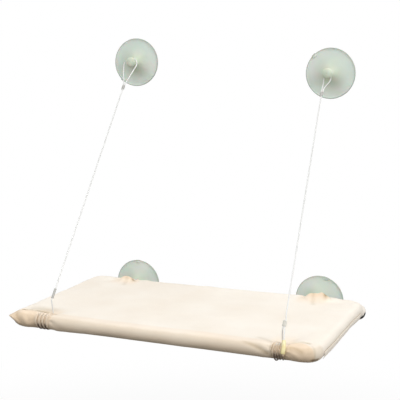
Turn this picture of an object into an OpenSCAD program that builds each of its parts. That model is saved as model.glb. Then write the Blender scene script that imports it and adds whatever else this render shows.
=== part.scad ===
// Window mounted cat perch: a covered tube frame that hangs on two cables from suction cups.
// Millimetres. The glass is the plane y = 0, the room is on the -Y side, and +Z is up.
// The origin lies on the glass, on the platform's centre line, at the height of the lower left cup.

/* [Suction cups] */
// Diameter of each suction cup
cup_d = 102; // [92:1:112]
// Width of the flat lip that seals on the glass
lip_w = 4; // [3:0.5:6]
// Thickness of the bead round the rim
rim_t = 2.4; // [1.6:0.1:3.2]
// Depth of the hollow behind the cup, once pressed flat
hollow_h = 3; // [2:0.1:3.6]
// Distance from the glass to the top of the dome
dome_h = 17; // [15:0.5:19]
// Diameter of the peg's neck
neck_d = 12; // [10:0.5:13]
// Length of the neck between the dome and the head
neck_l = 10.5; // [9.5:0.5:13]
// Diameter of the peg's mushroom head
head_d = 21; // [18:0.5:22]
// Thickness of the mushroom head
head_t = 7.5; // [6:0.5:9]
// Width of the moulded grip on the rim
grip_w = 9; // [6:0.5:12]

/* [Places on the glass] */
// Upper left cup, distance in from the left side tube
upper_left_in = 64.5; // [50:0.5:80]
// Upper left cup, height
upper_left_h = 487; // [440:1:520]
// Upper right cup, distance in from the right side tube
upper_right_in = 82.5; // [55:0.5:95]
// Upper right cup, height
upper_right_h = 470; // [440:1:520]
// Lower left cup, distance in from the left side tube
lower_left_in = 68.5; // [64:0.5:95]
// Lower right cup, distance in from the right side tube
lower_right_in = 92.5; // [64:0.5:100]
// Lower right cup, height above the lower left cup
lower_right_h = 3.5; // [0:0.5:5]

/* [Tube frame] */
// Width between the centres of the side tubes
frame_w = 577; // [570:1:600]
// Depth between the centres of the front and rear tubes
frame_d = 330; // [300:1:350]
// Distance from the glass to the centre of the rear tube
glass_gap = 57; // [56:1:64]
// Height of the tube centres above the lower left cup's centre
frame_h = 8; // [6:0.5:9]
// Outer diameter of the tubes
tube_d = 21.3; // [20:0.1:22]
// Wall of the tubes
tube_wall = 2.8; // [2:0.1:3.2]
// Outer diameter of the elbows
elbow_d = 25; // [24.5:0.1:27]
// Radius of the elbows' bend, at the centre line
elbow_bend = 16; // [14:0.5:20]
// Depth of the elbows' sockets
socket_l = 18; // [14:1:24]
// Diameter of the rounded foot under each rear elbow
foot_d = 29; // [27:0.5:31]
// Drop of the foot's centre below the tube centres
foot_drop = 7; // [5:0.5:8]
// Distance of the foot's centre outside the corner of the frame
foot_out = 2; // [0:0.5:3]

/* [Fabric cover] */
// Thickness of the fabric and its seams over the elbows
cover_t = 1; // [0.9:0.1:1.6]
// Thickness of the fabric that the turns of cable squeeze on the tube
squeeze_t = 0.75; // [0.6:0.05:1]
// Sag of the top fabric at the middle
deck_sag = 4; // [2:0.5:8]
// Sag of the lower fabric at the middle
under_sag = 3; // [1:0.5:6]
// Depth of the dip that a lashing draws into the fabric beside it
pinch_dip = 2; // [1:0.25:2.5]
// Radius of the sewn corner that stands out past the front left elbow
tip_r = 12; // [8:1:20]

/* [Cables] */
// Diameter of the coated steel cable
cable_d = 2.4; // [2:0.1:2.6]
// Width of the left cable's upper eye
left_eye_w = 30; // [27:0.5:33]
// Length of the left cable's upper eye, from the peg to its ferrule
left_eye_l = 61; // [54:1:70]
// Length of the right cable's upper eye, from the peg to its ferrule
right_eye_l = 46; // [42:1:58]
// Length of the upper ferrules
upper_ferrule_l = 10; // [8:1:14]
// Wall of the ferrules round the cable
ferrule_wall = 1; // [0.8:0.1:1.4]
// Distance between the centres of the two strands in a ferrule
strand_gap = 3; // [2.9:0.1:3.4]
// Left upper ferrule, distance in from the left side tube
left_run_in = 65; // [54:0.5:78]
// Right upper ferrule, distance in from the right side tube
right_run_in = 84.5; // [58:0.5:93]

/* [Front lashings] */
// Where the left cable first crosses the front of the tube, in from the left side tube
left_first_in = 67; // [56:0.5:78]
// Where the right cable meets the front tube, in from the right side tube
right_land_in = 49.5; // [43.5:1:63.5]
// Pitch of the left winding
left_pitch = 7.4; // [6:0.1:8.5]
// Pitch of the right winding
right_pitch = 4.6; // [4.4:0.1:5.2]
// Times that the left cable crosses the front of the tube
left_turns = 3; // [2:1:3]
// Times that the right cable crosses the front of the tube
right_turns = 4; // [2:1:4]
// Left lower ferrule, distance in from the left side tube
left_ferrule_in = 66.5; // [56:0.5:76]
// Right lower ferrule, distance in from the right side tube
right_ferrule_in = 55.5; // [48:0.5:63]
// Left lower ferrule, distance up the cable from the tube
left_ferrule_up = 43; // [38:1:52]
// Right lower ferrule, distance up the cable from the tube
right_ferrule_up = 40; // [36:1:48]
// Length of the left lower ferrule
left_ferrule_l = 20; // [14:1:24]
// Length of the right lower ferrule
right_ferrule_l = 10; // [8:1:20]
// Outer diameter of the left lower ferrule, a round one that joins two lengths end to end
left_ferrule_d = 4.6; // [4.4:0.1:6]
// Outer diameter of the sleeve on the right strand
sleeve_d = 6.8; // [6:0.1:6.8]
// Length of the sleeve
sleeve_l = 20; // [14:1:24]

/* [Rear lashings] */
// Pitch of the rear windings
rear_pitch = 9.6; // [8:0.1:10]
// Whole turns of the rear windings
rear_turns = 4; // [2:1:4]
// Distance from the peg's centre to the first turn
leg_spread = 12.5; // [12:0.5:15]
// Diameter of the crimp that joins a rear lashing's ends
splice_d = 5; // [4:0.5:6]
// Length of the crimp
splice_l = 12; // [8:1:14]

/* [Hidden] */

// Colours
cup_color = "#c8d4cc";
steel_color = "#c9c9c5";
ferrule_color = "#8e8e8a";
tube_color = "#eeeeea";
black_color = "#181715";
fabric_color = "#f6eee0";
sleeve_color = "#e8dfa0";

// Clearances
soft_clear = 0.3;
tube_fit = 0.1;
foot_clear = 0.5;
overrun = 1;

// Facets
round_n = 64;
room_n = 24;
loop_n = 24;
wound_sides = 6;
cord_sides = 8;

LEFT = 0;
RIGHT = 1;
side_sign = [-1, 1];

// Frame
half_w = frame_w / 2;
rear_y = -glass_gap;
front_y = rear_y - frame_d;
tube_r = tube_d / 2;
foot_r = foot_d / 2;

// Cups and pegs
upper_x = [upper_left_in - half_w, half_w - upper_right_in];
upper_z = [upper_left_h, upper_right_h];
lower_x = [lower_left_in - half_w, half_w - lower_right_in];
lower_z = [0, lower_right_h];
cup_r = cup_d / 2;
elbow_r = elbow_d / 2;
bend_step = 0.7;
loop_r = neck_d / 2 + soft_clear + cable_d / 2;
loop_y = -(dome_h + neck_l * 0.57);
hook_y = -(dome_h + neck_l - cable_d / 2 - 2 * soft_clear);
peg_tip = dome_h + neck_l + head_t;

// Cover
roll_r = elbow_r + cover_t;
pinch_r = tube_r + soft_clear + squeeze_t;
wind_r = pinch_r + soft_clear + cable_d / 2;
sleeve_seat_r = pinch_r + soft_clear + sleeve_d / 2;
corner_r = elbow_bend + roll_r;
slot_side = 2.5;
slot_out = 0.9;
slit_w = 8;

// Front lashings
land_x = [left_ferrule_in - half_w, half_w - right_land_in];
land_r = [wind_r, sleeve_seat_r];
wind_pitch = [left_pitch, right_pitch];
wind_turns = [left_turns, right_turns];
ferrule_x = [left_ferrule_in - half_w, half_w - right_ferrule_in];
ferrule_up = [left_ferrule_up, right_ferrule_up];
ferrule_l = [left_ferrule_l, right_ferrule_l];
run_x = [left_run_in - half_w, half_w - right_run_in];
eye_l = [left_eye_l, right_eye_l];
// Where the left strand drops behind the tube, and how far its end is tucked past the last turn
left_drop_x = left_first_in + left_pitch / 2 - half_w;
tuck_angle = 45;
// Angle over which the right strand settles from its sleeve to the tube
settle_angle = 60;

function unit(v) = v / norm(v);
function ease(t) = let (c = min(1, max(0, t))) c * c * (3 - 2 * c);
function mix(a, b, t) = a + (b - a) * t;

// Angle at which a line from a point touches a circle round the front tube, on its upper front side
function touch_angle(y, z, r) =
    let (dy = y - front_y, dz = z - frame_h)
    atan2(dz, dy) + acos(r / norm([dy, dz]));

function hook(i) = [upper_x[i], hook_y, upper_z[i]];
function land_angle(i) = touch_angle(hook(i)[1], hook(i)[2], land_r[i]);
function land_point(i) =
    [land_x[i], front_y + land_r[i] * cos(land_angle(i)), frame_h + land_r[i] * sin(land_angle(i))];

// The cable's straight line, measured upwards from the front tube to the peg's centre
function line_len(i) = norm([for (k = [1:2]) hook(i)[k] - land_point(i)[k]]);
function line_dir(i) =
    let (v = hook(i) - land_point(i))
    [0, v[1] / line_len(i), v[2] / line_len(i)];
function run_low(i) = ferrule_up[i] + ferrule_l[i];
function run_high(i) = line_len(i) - eye_l[i] - upper_ferrule_l;
function line_x(i, s) = lookup(s, [
    [ferrule_up[i], ferrule_x[i]],
    [run_low(i) + cable_d, ferrule_x[i]],
    [run_high(i) - cable_d, run_x[i]],
    [line_len(i), run_x[i]]
]);
function line_point(i, s) =
    let (p = land_point(i) + s * line_dir(i))
    [line_x(i, s), p[1], p[2]];

function bezier(a, b, c, d, n, first = 0) = [
    for (k = [first:n])
        let (t = k / n, u = 1 - t)
        u * u * u * a + 3 * u * u * t * b + 3 * u * t * t * c + t * t * t * d
];

// Frames that turn as little as they can along a path
function path_dir(p, i) = unit(p[min(i + 1, len(p) - 1)] - p[max(i - 1, 0)]);
function path_sides(p, i = 0, prev = [0, 0, 0]) =
    i == len(p) ? [] :
    let (t = path_dir(p, i),
         seed = abs(t[0]) < 0.9 ? [1, 0, 0] : [0, 1, 0],
         n = i == 0 ? unit(cross(t, seed)) : unit(prev - (prev * t) * t))
    concat([n], path_sides(p, i + 1, n));

function least_gap(p, d, skip) =
    min([for (i = [0:len(p) - 1 - skip]) for (j = [i + skip:len(p) - 1]) norm(p[i] - p[j])]) - d;

module tube(path, d, sides) {
    side = path_sides(path);
    last = len(path) - 1;
    points = [
        for (i = [0:last])
            let (up = cross(path_dir(path, i), side[i]))
            for (k = [0:sides - 1])
                let (a = 360 * k / sides)
                path[i] + d / 2 * (cos(a) * side[i] + sin(a) * up)
    ];
    walls = [
        for (i = [0:last - 1]) for (k = [0:sides - 1])
            let (a = i * sides + k, b = i * sides + (k + 1) % sides)
            for (f = [[a, a + sides, b], [b, a + sides, b + sides]]) f
    ];
    ends = [
        for (k = [1:sides - 2])
            for (f = [[0, k, k + 1], [last * sides, last * sides + k + 1, last * sides + k]]) f
    ];
    polyhedron(points, concat(walls, ends), convexity = 8);
}

// Turns a part that points along +Z from one point to another
module along(a, b) {
    v = b - a;
    translate(a) rotate([-asin(v[1] / norm(v)), atan2(v[0], v[2]), 0]) children();
}

// Suction cups
function cup_profile() =
    let (lip_in = cup_r - lip_w, shoulder = neck_d / 2 + neck_d / 3, hr = head_d / 2)
    concat(
        [[0, hollow_h]],
        [for (k = [1:5]) [lip_in * k / 5, hollow_h * (1 - (k / 5) * (k / 5))]],
        [[cup_r - rim_t / 6, 0], [cup_r, rim_t / 4], [cup_r, rim_t * 0.7], [cup_r - rim_t / 3, rim_t],
         [cup_r - rim_t, rim_t]],
        [for (k = [0:7])
            let (t = k / 7, r = mix(cup_r - rim_t * 1.6, shoulder, t))
            [r, mix(rim_t * 0.7, dome_h * 0.72, pow(t, 2.2))]],
        [[neck_d / 2 + neck_d / 12, dome_h * 0.88], [neck_d / 2, dome_h],
         [neck_d / 2, dome_h + neck_l], [hr - head_t / 6, dome_h + neck_l],
         [hr, dome_h + neck_l + head_t / 6]],
        [for (k = [0:6])
            let (a = 90 * k / 6)
            [hr * cos(a), dome_h + neck_l + head_t * (0.35 + 0.65 * sin(a))]]
    );

module cup(x, z, grip_angle) {
    color(cup_color) translate([x, 0, z]) rotate([90, 0, 0]) {
        rotate_extrude($fn = round_n * 2) polygon(cup_profile());
        rotate([0, 0, grip_angle])
            translate([cup_r - grip_w * 0.62, -grip_w / 2, rim_t * 0.6])
                cube([grip_w * 0.62 + rim_t * 0.3, grip_w, rim_t]);
    }
}

module upper_left_cup() { cup(upper_x[LEFT], upper_z[LEFT], 230); }
module upper_right_cup() { cup(upper_x[RIGHT], upper_z[RIGHT], 135); }
module lower_left_cup() { cup(lower_x[LEFT], lower_z[LEFT], 90); }
module lower_right_cup() { cup(lower_x[RIGHT], lower_z[RIGHT], 75); }

// Upper eyes. Each ends in its ferrule, straight and side by side.
function eye_low(i, side) = line_point(i, line_len(i) - eye_l[i]) + [side * strand_gap / 2, 0, 0];
function eye_exit(i, side) = eye_low(i, side) + cable_d * line_dir(i);
function backwards(p) = [for (k = [len(p) - 1:-1:0]) p[k]];

// The left one stands open like a drop: an arc that touches the neck, and two straight strands
left_eye_top = [upper_x[LEFT], loop_y, upper_z[LEFT] + loop_r];
left_eye_low = eye_exit(LEFT, 0);
left_eye_span = norm(left_eye_low - left_eye_top);
function left_eye_point(x, down) = mix(left_eye_top, left_eye_low, down / left_eye_span) + [x, 0, 0];
function left_eye_path() =
    let (r = left_eye_w / 2, e = strand_gap / 2, d = left_eye_span, steps = 14,
         a = acos(-r / norm([e, d - r])) - atan2(e, d - r),
         arc = [for (k = [-steps:steps]) left_eye_point(r * sin(a * k / steps), r - r * cos(a * k / steps))],
         end = r - r * cos(a))
    concat(
        [eye_low(LEFT, -1), eye_exit(LEFT, -1)],
        [for (t = [0.3, 0.65]) left_eye_point(mix(-e, -r * sin(a), t), mix(d, end, t))],
        arc,
        [for (t = [0.65, 0.3]) left_eye_point(mix(e, r * sin(a), t), mix(d, end, t))],
        [eye_exit(LEFT, 1), eye_low(LEFT, 1)]
    );

// The right one hangs narrow behind the peg's head and bends out under it
hang_low = 10.5;
hang_x = 6.8;
function right_eye_side(side) =
    let (from = eye_exit(RIGHT, side), to = hook(RIGHT) + [side * hang_x, 0, -hang_low])
    concat([eye_low(RIGHT, side)],
           bezier(from, from + 13 * line_dir(RIGHT), to - [0, 0, 7], to, 8),
           [hook(RIGHT) + [side * (hang_x + loop_r) / 2, 0, -hang_low / 2]]);
function right_eye_path() =
    concat(right_eye_side(-1),
           [for (k = [0:12]) hook(RIGHT) + loop_r * [-cos(180 * k / 12), 0, sin(180 * k / 12)]],
           backwards(right_eye_side(1)));

module left_cable_eye() { color(steel_color) tube(left_eye_path(), cable_d, cord_sides); }
module right_cable_eye() { color(steel_color) tube(right_eye_path(), cable_d, cord_sides); }

// Ferrules: flattened crimps, two strands wide
module crimp(l) {
    crimp_r = cable_d / 2 + ferrule_wall;
    color(ferrule_color) linear_extrude(l) {
        for (s = side_sign)
            translate([s * strand_gap / 2, 0]) circle(crimp_r, $fn = round_n);
        square([strand_gap, 2 * crimp_r], center = true);
    }
}

module upper_ferrule(i) {
    along(line_point(i, run_high(i)), line_point(i, run_high(i) + upper_ferrule_l)) crimp(upper_ferrule_l);
}
module left_upper_ferrule() { upper_ferrule(LEFT); }
module right_upper_ferrule() { upper_ferrule(RIGHT); }
module left_lower_ferrule() {
    low = left_ferrule_up;
    color(ferrule_color) along(line_point(LEFT, low), line_point(LEFT, low + left_ferrule_l))
        cylinder(h = left_ferrule_l, d = left_ferrule_d, $fn = round_n);
}
module right_lower_ferrule() {
    low = right_ferrule_up;
    along(line_point(RIGHT, low), line_point(RIGHT, low + right_ferrule_l)) crimp(right_ferrule_l);
}

// Straight runs between the ferrules
function run_path(i) =
    let (a = run_low(i), b = run_high(i), steps = 38)
    concat([line_point(i, a)],
           [for (k = [0:steps]) line_point(i, mix(a + cable_d, b - cable_d, k / steps))],
           [line_point(i, b)]);
module cable_run(i) { color(steel_color) tube(run_path(i), cable_d, cord_sides); }
module left_cable_run() { cable_run(LEFT); }
module right_cable_run() { cable_run(RIGHT); }

// Front lashings. The left strand drops behind the tube, turns round it and is tucked away behind it.
// The right one comes down in front, turns round the tube and goes back up behind it to its ferrule.
function wind_angle(i, t) = i == LEFT ? -t : land_angle(RIGHT) + t;
function wind_span(i) = i == LEFT ? 360 * left_turns + tuck_angle : 360 * right_turns - land_angle(RIGHT);
function wind_from_x(i) = i == LEFT ? left_drop_x : land_x[RIGHT];
function wind_x(i, t) = wind_from_x(i) - wind_pitch[i] * t / 360;
function wind_point(i, t) =
    let (a = wind_angle(i, t), r = wind_r + (land_r[i] - wind_r) * (1 - ease(t / settle_angle)))
    [wind_x(i, t), front_y + r * cos(a), frame_h + r * sin(a)];
function wind_path(i) =
    let (steps = round(loop_n * wind_span(i) / 360))
    [for (k = [0:steps]) wind_point(i, wind_span(i) * k / steps)];
function slit_x(i) = i == LEFT ? left_drop_x : wind_x(RIGHT, wind_span(RIGHT));

function left_front_path() =
    let (exit = line_point(LEFT, ferrule_up[LEFT]),
         down = -cable_d * line_dir(LEFT),
         first = wind_point(LEFT, 0),
         drop = exit[2] - first[2])
    concat([exit], bezier(exit + down, exit + 3 * down, first + [0, 0, drop * 0.55], first, 7),
           [for (k = [1:len(wind_path(LEFT)) - 1]) wind_path(LEFT)[k]]);
function right_front_path() =
    let (exit = line_point(RIGHT, ferrule_up[RIGHT]),
         gap = [strand_gap / 2, 0, 0],
         down = -cable_d * line_dir(RIGHT),
         first = land_point(RIGHT),
         rise = wind_point(RIGHT, wind_span(RIGHT)),
         climb = exit[2] - rise[2])
    concat([exit + gap, exit + gap + down],
           [for (t = [0.35, 0.7]) mix(exit + gap + down, first, t)],
           wind_path(RIGHT),
           bezier(rise, rise + [0, 0, climb * 0.5], exit - gap + 4 * down, exit - gap + down, 8, 1),
           [exit - gap]);
module front_lashing(path) {
    echo(least_gap_of_front_winding = least_gap(path, cable_d, 12));
    color(steel_color) tube(path, cable_d, wound_sides);
}
module left_front_lashing() { front_lashing(left_front_path()); }
module right_front_lashing() { front_lashing(right_front_path()); }

module right_cable_sleeve() {
    a = land_point(RIGHT);
    b = line_point(RIGHT, ferrule_up[RIGHT]) + [strand_gap / 2, 0, 0];
    color(sleeve_color) along(a, b) difference() {
        cylinder(h = sleeve_l, d = sleeve_d, $fn = round_n);
        translate([0, 0, -overrun])
            cylinder(h = sleeve_l + 2 * overrun, d = cable_d + 2 * soft_clear, $fn = round_n);
    }
}

// Rear lashings: a loop over the peg's neck whose left leg winds round the rear tube
leg_drop = 12;
leg_reach = 24;
tail_drop = 9;
splice_lead = 6;
splice_out = 16.5;
splice_low = 7.4;
splice_angle = 48;

function splice_dir() = [-cos(splice_angle), sin(splice_angle), 0];
function splice_mid(i) = [lower_x[i] + splice_out, -peg_tip, lower_z[i] - splice_low];
function rear_x(i, a) = lower_x[i] - leg_spread + rear_pitch * (270 - a) / 360;
function rear_end() = 360 - 360 * rear_turns;
function rear_point(i, a) = [rear_x(i, a), rear_y + wind_r * cos(a), frame_h + wind_r * sin(a)];
function rear_path(i) =
    let (f = splice_dir(),
         near = splice_mid(i) + f * splice_l / 2,
         far = splice_mid(i) - f * splice_l / 2,
         neck = [lower_x[i], loop_y, lower_z[i]],
         right = neck + [loop_r, 0, 0],
         left = neck - [loop_r, 0, 0],
         first = rear_point(i, 270),
         last = rear_point(i, rear_end()),
         steps = round(loop_n * (270 - rear_end()) / 360))
    concat(
        [near],
        bezier(near + f * cable_d, near + f * splice_lead, right - [0, 0, splice_lead], right, 5),
        [for (k = [1:8]) neck + loop_r * [cos(180 * k / 8), 0, sin(180 * k / 8)]],
        bezier(left, left - [0, 0, leg_drop], first + [0, leg_reach, 0], first, 10, 1),
        [for (k = [1:steps]) rear_point(i, mix(270, rear_end(), k / steps))],
        bezier(last, last - [0, 0, tail_drop], far - f * splice_lead, far - f * cable_d, 6, 1),
        [far]
    );
module rear_lashing(i) {
    echo(least_gap_of_rear_winding = least_gap(rear_path(i), cable_d, 12));
    color(steel_color) tube(rear_path(i), cable_d, wound_sides);
}
module left_rear_lashing() { rear_lashing(LEFT); }
module right_rear_lashing() { rear_lashing(RIGHT); }

module rear_splice(i) {
    half = splice_dir() * splice_l / 2;
    color(ferrule_color) along(splice_mid(i) - half, splice_mid(i) + half)
        cylinder(h = splice_l, d = splice_d, $fn = round_n);
}
module left_rear_splice() { rear_splice(LEFT); }
module right_rear_splice() { rear_splice(RIGHT); }

// Tubes of the frame, each pushed into an elbow at both ends
module pipe(l) {
    difference() {
        cylinder(h = l, r = tube_r, center = true, $fn = round_n);
        cylinder(h = l + 2 * overrun, r = tube_r - tube_wall, center = true, $fn = round_n);
    }
}
module cross_tube(y) {
    color(tube_color) translate([0, y, frame_h]) rotate([0, 90, 0])
        pipe(frame_w - 2 * (elbow_bend + tube_fit));
}
module side_tube(s) {
    color(tube_color) translate([s * half_w, (front_y + rear_y) / 2, frame_h]) rotate([90, 0, 0])
        pipe(frame_d - 2 * (elbow_bend + tube_fit));
}
module front_tube() { cross_tube(front_y); }
module rear_tube() { cross_tube(rear_y); }
module left_side_tube() { side_tube(-1); }
module right_side_tube() { side_tube(1); }

// Outer shape of an elbow whose corner is at the origin and whose arms run along -X and -Y
module elbow_shape(grow, facets) {
    translate([-elbow_bend, -elbow_bend, 0])
        rotate_extrude(angle = 90, $fn = facets)
            translate([elbow_bend, 0]) circle(elbow_r - bend_step + grow, $fn = facets);
    translate([overrun - elbow_bend, 0, 0]) rotate([0, -90, 0])
        cylinder(h = socket_l + grow + overrun, r = elbow_r + grow, $fn = facets);
    translate([0, overrun - elbow_bend, 0]) rotate([90, 0, 0])
        cylinder(h = socket_l + grow + overrun, r = elbow_r + grow, $fn = facets);
}
module elbow_bores() {
    translate([-elbow_bend, -elbow_bend, 0])
        rotate_extrude(angle = 90, $fn = round_n)
            translate([elbow_bend, 0]) circle(tube_r - tube_wall, $fn = round_n);
    translate([-elbow_bend, 0, 0]) rotate([0, -90, 0])
        cylinder(h = socket_l + overrun, r = tube_r + tube_fit, $fn = round_n);
    translate([0, -elbow_bend, 0]) rotate([90, 0, 0])
        cylinder(h = socket_l + overrun, r = tube_r + tube_fit, $fn = round_n);
}
// Puts a part made for the rear right corner of the frame at any of the four
module at_corner(sx, sy) {
    translate([sx * half_w, sy > 0 ? rear_y : front_y, frame_h])
        mirror([sx < 0 ? 1 : 0, 0, 0]) mirror([0, sy < 0 ? 1 : 0, 0]) children();
}
module elbow(sx, sy, foot) {
    color(black_color) at_corner(sx, sy) difference() {
        union() {
            elbow_shape(0, round_n);
            if (foot)
                translate([foot_out, 0, -foot_drop]) sphere(foot_r, $fn = round_n);
        }
        elbow_bores();
    }
}
module front_left_elbow() { elbow(-1, -1, false); }
module front_right_elbow() { elbow(1, -1, false); }
module rear_left_elbow() { elbow(-1, 1, true); }
module rear_right_elbow() { elbow(1, 1, true); }

// Cover: a pillow of rolled edges and two lightly sagging sheets, closed round the frame
edge_steps = 5;
corner_steps = 5;
side_steps = 4;
edge_x_shares = [-0.9, -0.6, -0.3, 0, 0.3, 0.6, 0.9];
inner_shares = [0.09, 0.28, 0.55, 0.85];
pinch_reach = 30;
pinch_share = 0.35;
mid_y = (front_y + rear_y) / 2;
half_d = frame_d / 2;

// Corner radii, counter-clockwise from the rear right
corner_rs = [corner_r, corner_r, tip_r, corner_r];
corner_sx = [1, -1, -1, 1];
corner_sy = [1, 1, -1, -1];

function bump(x, c) = let (t = abs(x - c) / pinch_reach) t < 1 ? pow(cos(90 * t), 2) : 0;
function pinch(x, y) =
    y < mid_y ? max([for (i = [LEFT, RIGHT]) bump(x, wind_x(i, wind_span(i) / 2))]) :
                max([for (i = [LEFT, RIGHT]) bump(x, lower_x[i] - leg_spread + rear_pitch * rear_turns / 2)]);

// One ring of the pillow, drawn in from its outline by a distance
function side_x(k, c, n) = mix(corner_sx[k], -corner_sx[k], c / n);
function ring_corner(k, inset) =
    let (r = max(corner_rs[k] - inset, overrun),
         cx = corner_sx[k] * (half_w + roll_r - inset - r),
         cy = mid_y + corner_sy[k] * (half_d + roll_r - inset - r))
    [for (j = [0:corner_steps])
        let (a = 90 * k + 90 * j / corner_steps)
        [cx + r * cos(a), cy + r * sin(a)]];
function ring_side(k, inset) =
    let (a = ring_corner(k, inset)[corner_steps], b = ring_corner((k + 1) % 4, inset)[0])
    k % 2 == 0 ?
        [for (t = (k == 0 ? [for (j = [6:-1:0]) edge_x_shares[j]] : edge_x_shares))
            [t * half_w, a[1]]] :
        [for (j = [1:side_steps - 1]) mix(a, b, j / side_steps)];
function ring(inset) = [for (k = [0:3]) for (p = concat(ring_corner(k, inset), ring_side(k, inset))) p];

function fall(x, y) =
    let (u = x / half_w, v = (y - mid_y) / half_d)
    max(0, 1 - u * u) * max(0, 1 - v * v);
function sheet_z(x, y, up, depth) =
    let (dip = pinch_dip * pinch(x, y) * (1 - ease(depth / (2 * pinch_reach))))
    up > 0 ? frame_h + roll_r - deck_sag * fall(x, y) - dip : frame_h - roll_r - under_sag * fall(x, y) + dip;

function edge_ring(up, a) =
    let (base = ring(roll_r * (1 - cos(a))))
    [for (p = base)
        [p[0], p[1], frame_h + up * (roll_r - pinch_dip * pinch_share * pinch(p[0], p[1]) * sin(a)) * sin(a)]];
function sheet_ring(up, share) =
    [for (p = ring(roll_r + share * (half_d - roll_r)))
        [p[0], p[1], sheet_z(p[0], p[1], up, share * half_d)]];

module pillow() {
    rings = concat(
        [for (j = [len(inner_shares) - 1:-1:0]) sheet_ring(-1, inner_shares[j])],
        [for (j = [edge_steps:-1:1]) edge_ring(-1, 90 * j / edge_steps)],
        [for (j = [0:edge_steps]) edge_ring(1, 90 * j / edge_steps)],
        [for (j = [0:len(inner_shares) - 1]) sheet_ring(1, inner_shares[j])]
    );
    n = len(rings[0]);
    last = len(rings) - 1;
    low_mid = n * (last + 1);
    bands = [
        for (i = [0:last - 1]) for (k = [0:n - 1])
            let (a = i * n + k, b = i * n + (k + 1) % n)
            for (f = [[a, a + n, b], [b, a + n, b + n]]) f
    ];
    caps = [
        for (k = [0:n - 1])
            let (next = (k + 1) % n)
            for (f = [[low_mid, k, next], [low_mid + 1, last * n + next, last * n + k]]) f
    ];
    centres = [[0, mid_y, sheet_z(0, mid_y, -1, half_d)], [0, mid_y, sheet_z(0, mid_y, 1, half_d)]];
    polyhedron([for (r = rings) for (p = r) p, for (c = centres) c], concat(bands, caps), convexity = 6);
}

// Room for the frame inside the cover
module frame_room() {
    room_r = (tube_r + soft_clear) / cos(180 / room_n);
    for (y = [front_y, rear_y])
        translate([0, y, frame_h]) rotate([0, 90, 0])
            cylinder(h = frame_w - 2 * elbow_bend, r = room_r, center = true, $fn = room_n);
    for (s = side_sign)
        translate([s * half_w, mid_y, frame_h]) rotate([90, 0, 0])
            cylinder(h = frame_d - 2 * elbow_bend, r = room_r, center = true, $fn = room_n);
    for (sx = side_sign) for (sy = side_sign)
        at_corner(sx, sy) elbow_shape(soft_clear + elbow_r * (1 / cos(180 / room_n) - 1), room_n);
    for (sx = side_sign)
        at_corner(sx, 1) translate([foot_out, 0, -foot_drop]) sphere(foot_r + foot_clear, $fn = room_n);
}

// Ring in which a lashing passes through the fabric
module lashing_slot(y, x_low, x_high, r_out) {
    translate([x_low, y, frame_h]) rotate([0, 90, 0]) difference() {
        cylinder(h = x_high - x_low, r = r_out, $fn = room_n);
        translate([0, 0, -overrun])
            cylinder(h = x_high - x_low + 2 * overrun, r = pinch_r, $fn = room_n);
    }
}
module slots() {
    slot_r = wind_r + cable_d / 2 + slot_out;
    for (i = [LEFT, RIGHT]) {
        front_high = wind_from_x(i) + slot_side + (i == RIGHT ? sleeve_d / 3 : 0);
        lashing_slot(front_y, wind_x(i, wind_span(i)) - slot_side, front_high, slot_r);
        translate([slit_x(i) - slit_w * (i == LEFT ? 0.7 : 0.35), front_y + slot_r - 2 * slot_side, frame_h])
            cube([slit_w, 2 * slot_side, roll_r + slot_side]);
        rear_low = lower_x[i] - leg_spread;
        rear_high = rear_low + rear_pitch * (rear_turns - 0.25);
        lashing_slot(rear_y, rear_low - slot_side, rear_high + slot_side, slot_r);
    }
}

module cover() {
    color(fabric_color) difference() {
        pillow();
        frame_room();
        slots();
    }
}

upper_left_cup();
upper_right_cup();
lower_left_cup();
lower_right_cup();
left_cable_eye();
right_cable_eye();
left_upper_ferrule();
right_upper_ferrule();
left_cable_run();
right_cable_run();
left_rear_lashing();
right_rear_lashing();
left_rear_splice();
right_rear_splice();
front_tube();
rear_tube();
left_side_tube();
right_side_tube();
front_left_elbow();
front_right_elbow();
rear_left_elbow();
rear_right_elbow();
cover();
left_lower_ferrule();
right_lower_ferrule();
left_front_lashing();
right_front_lashing();
right_cable_sleeve();
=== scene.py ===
import math

import bmesh
import bpy
import numpy as np
from mathutils import Matrix, Vector, noise


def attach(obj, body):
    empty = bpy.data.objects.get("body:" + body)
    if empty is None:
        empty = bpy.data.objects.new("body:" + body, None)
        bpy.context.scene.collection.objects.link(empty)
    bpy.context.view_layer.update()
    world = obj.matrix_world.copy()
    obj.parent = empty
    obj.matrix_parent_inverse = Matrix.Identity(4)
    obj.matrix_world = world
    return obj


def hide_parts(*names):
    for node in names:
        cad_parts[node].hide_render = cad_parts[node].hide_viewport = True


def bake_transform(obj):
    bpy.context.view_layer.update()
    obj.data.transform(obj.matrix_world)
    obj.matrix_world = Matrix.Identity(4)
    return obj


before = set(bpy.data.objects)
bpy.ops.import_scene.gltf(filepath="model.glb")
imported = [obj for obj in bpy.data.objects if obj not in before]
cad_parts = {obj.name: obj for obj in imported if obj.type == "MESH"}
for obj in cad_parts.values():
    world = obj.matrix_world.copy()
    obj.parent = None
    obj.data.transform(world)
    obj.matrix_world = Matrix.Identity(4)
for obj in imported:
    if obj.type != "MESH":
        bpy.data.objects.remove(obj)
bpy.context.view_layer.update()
mm = 0.001
left, right = 0, 1
sides = ("left", "right")
fifths = (0, 0.2, 0.4, 0.6, 0.8)
print("frame loaded")


# small tools

def linear(hexColour):
    parts = [int(hexColour[k:k + 2], 16) / 255 for k in (0, 2, 4)]
    return [c / 12.92 if c <= 0.04045 else ((c + 0.055) / 1.055) ** 2.4 for c in parts] + [1.0]


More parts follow.
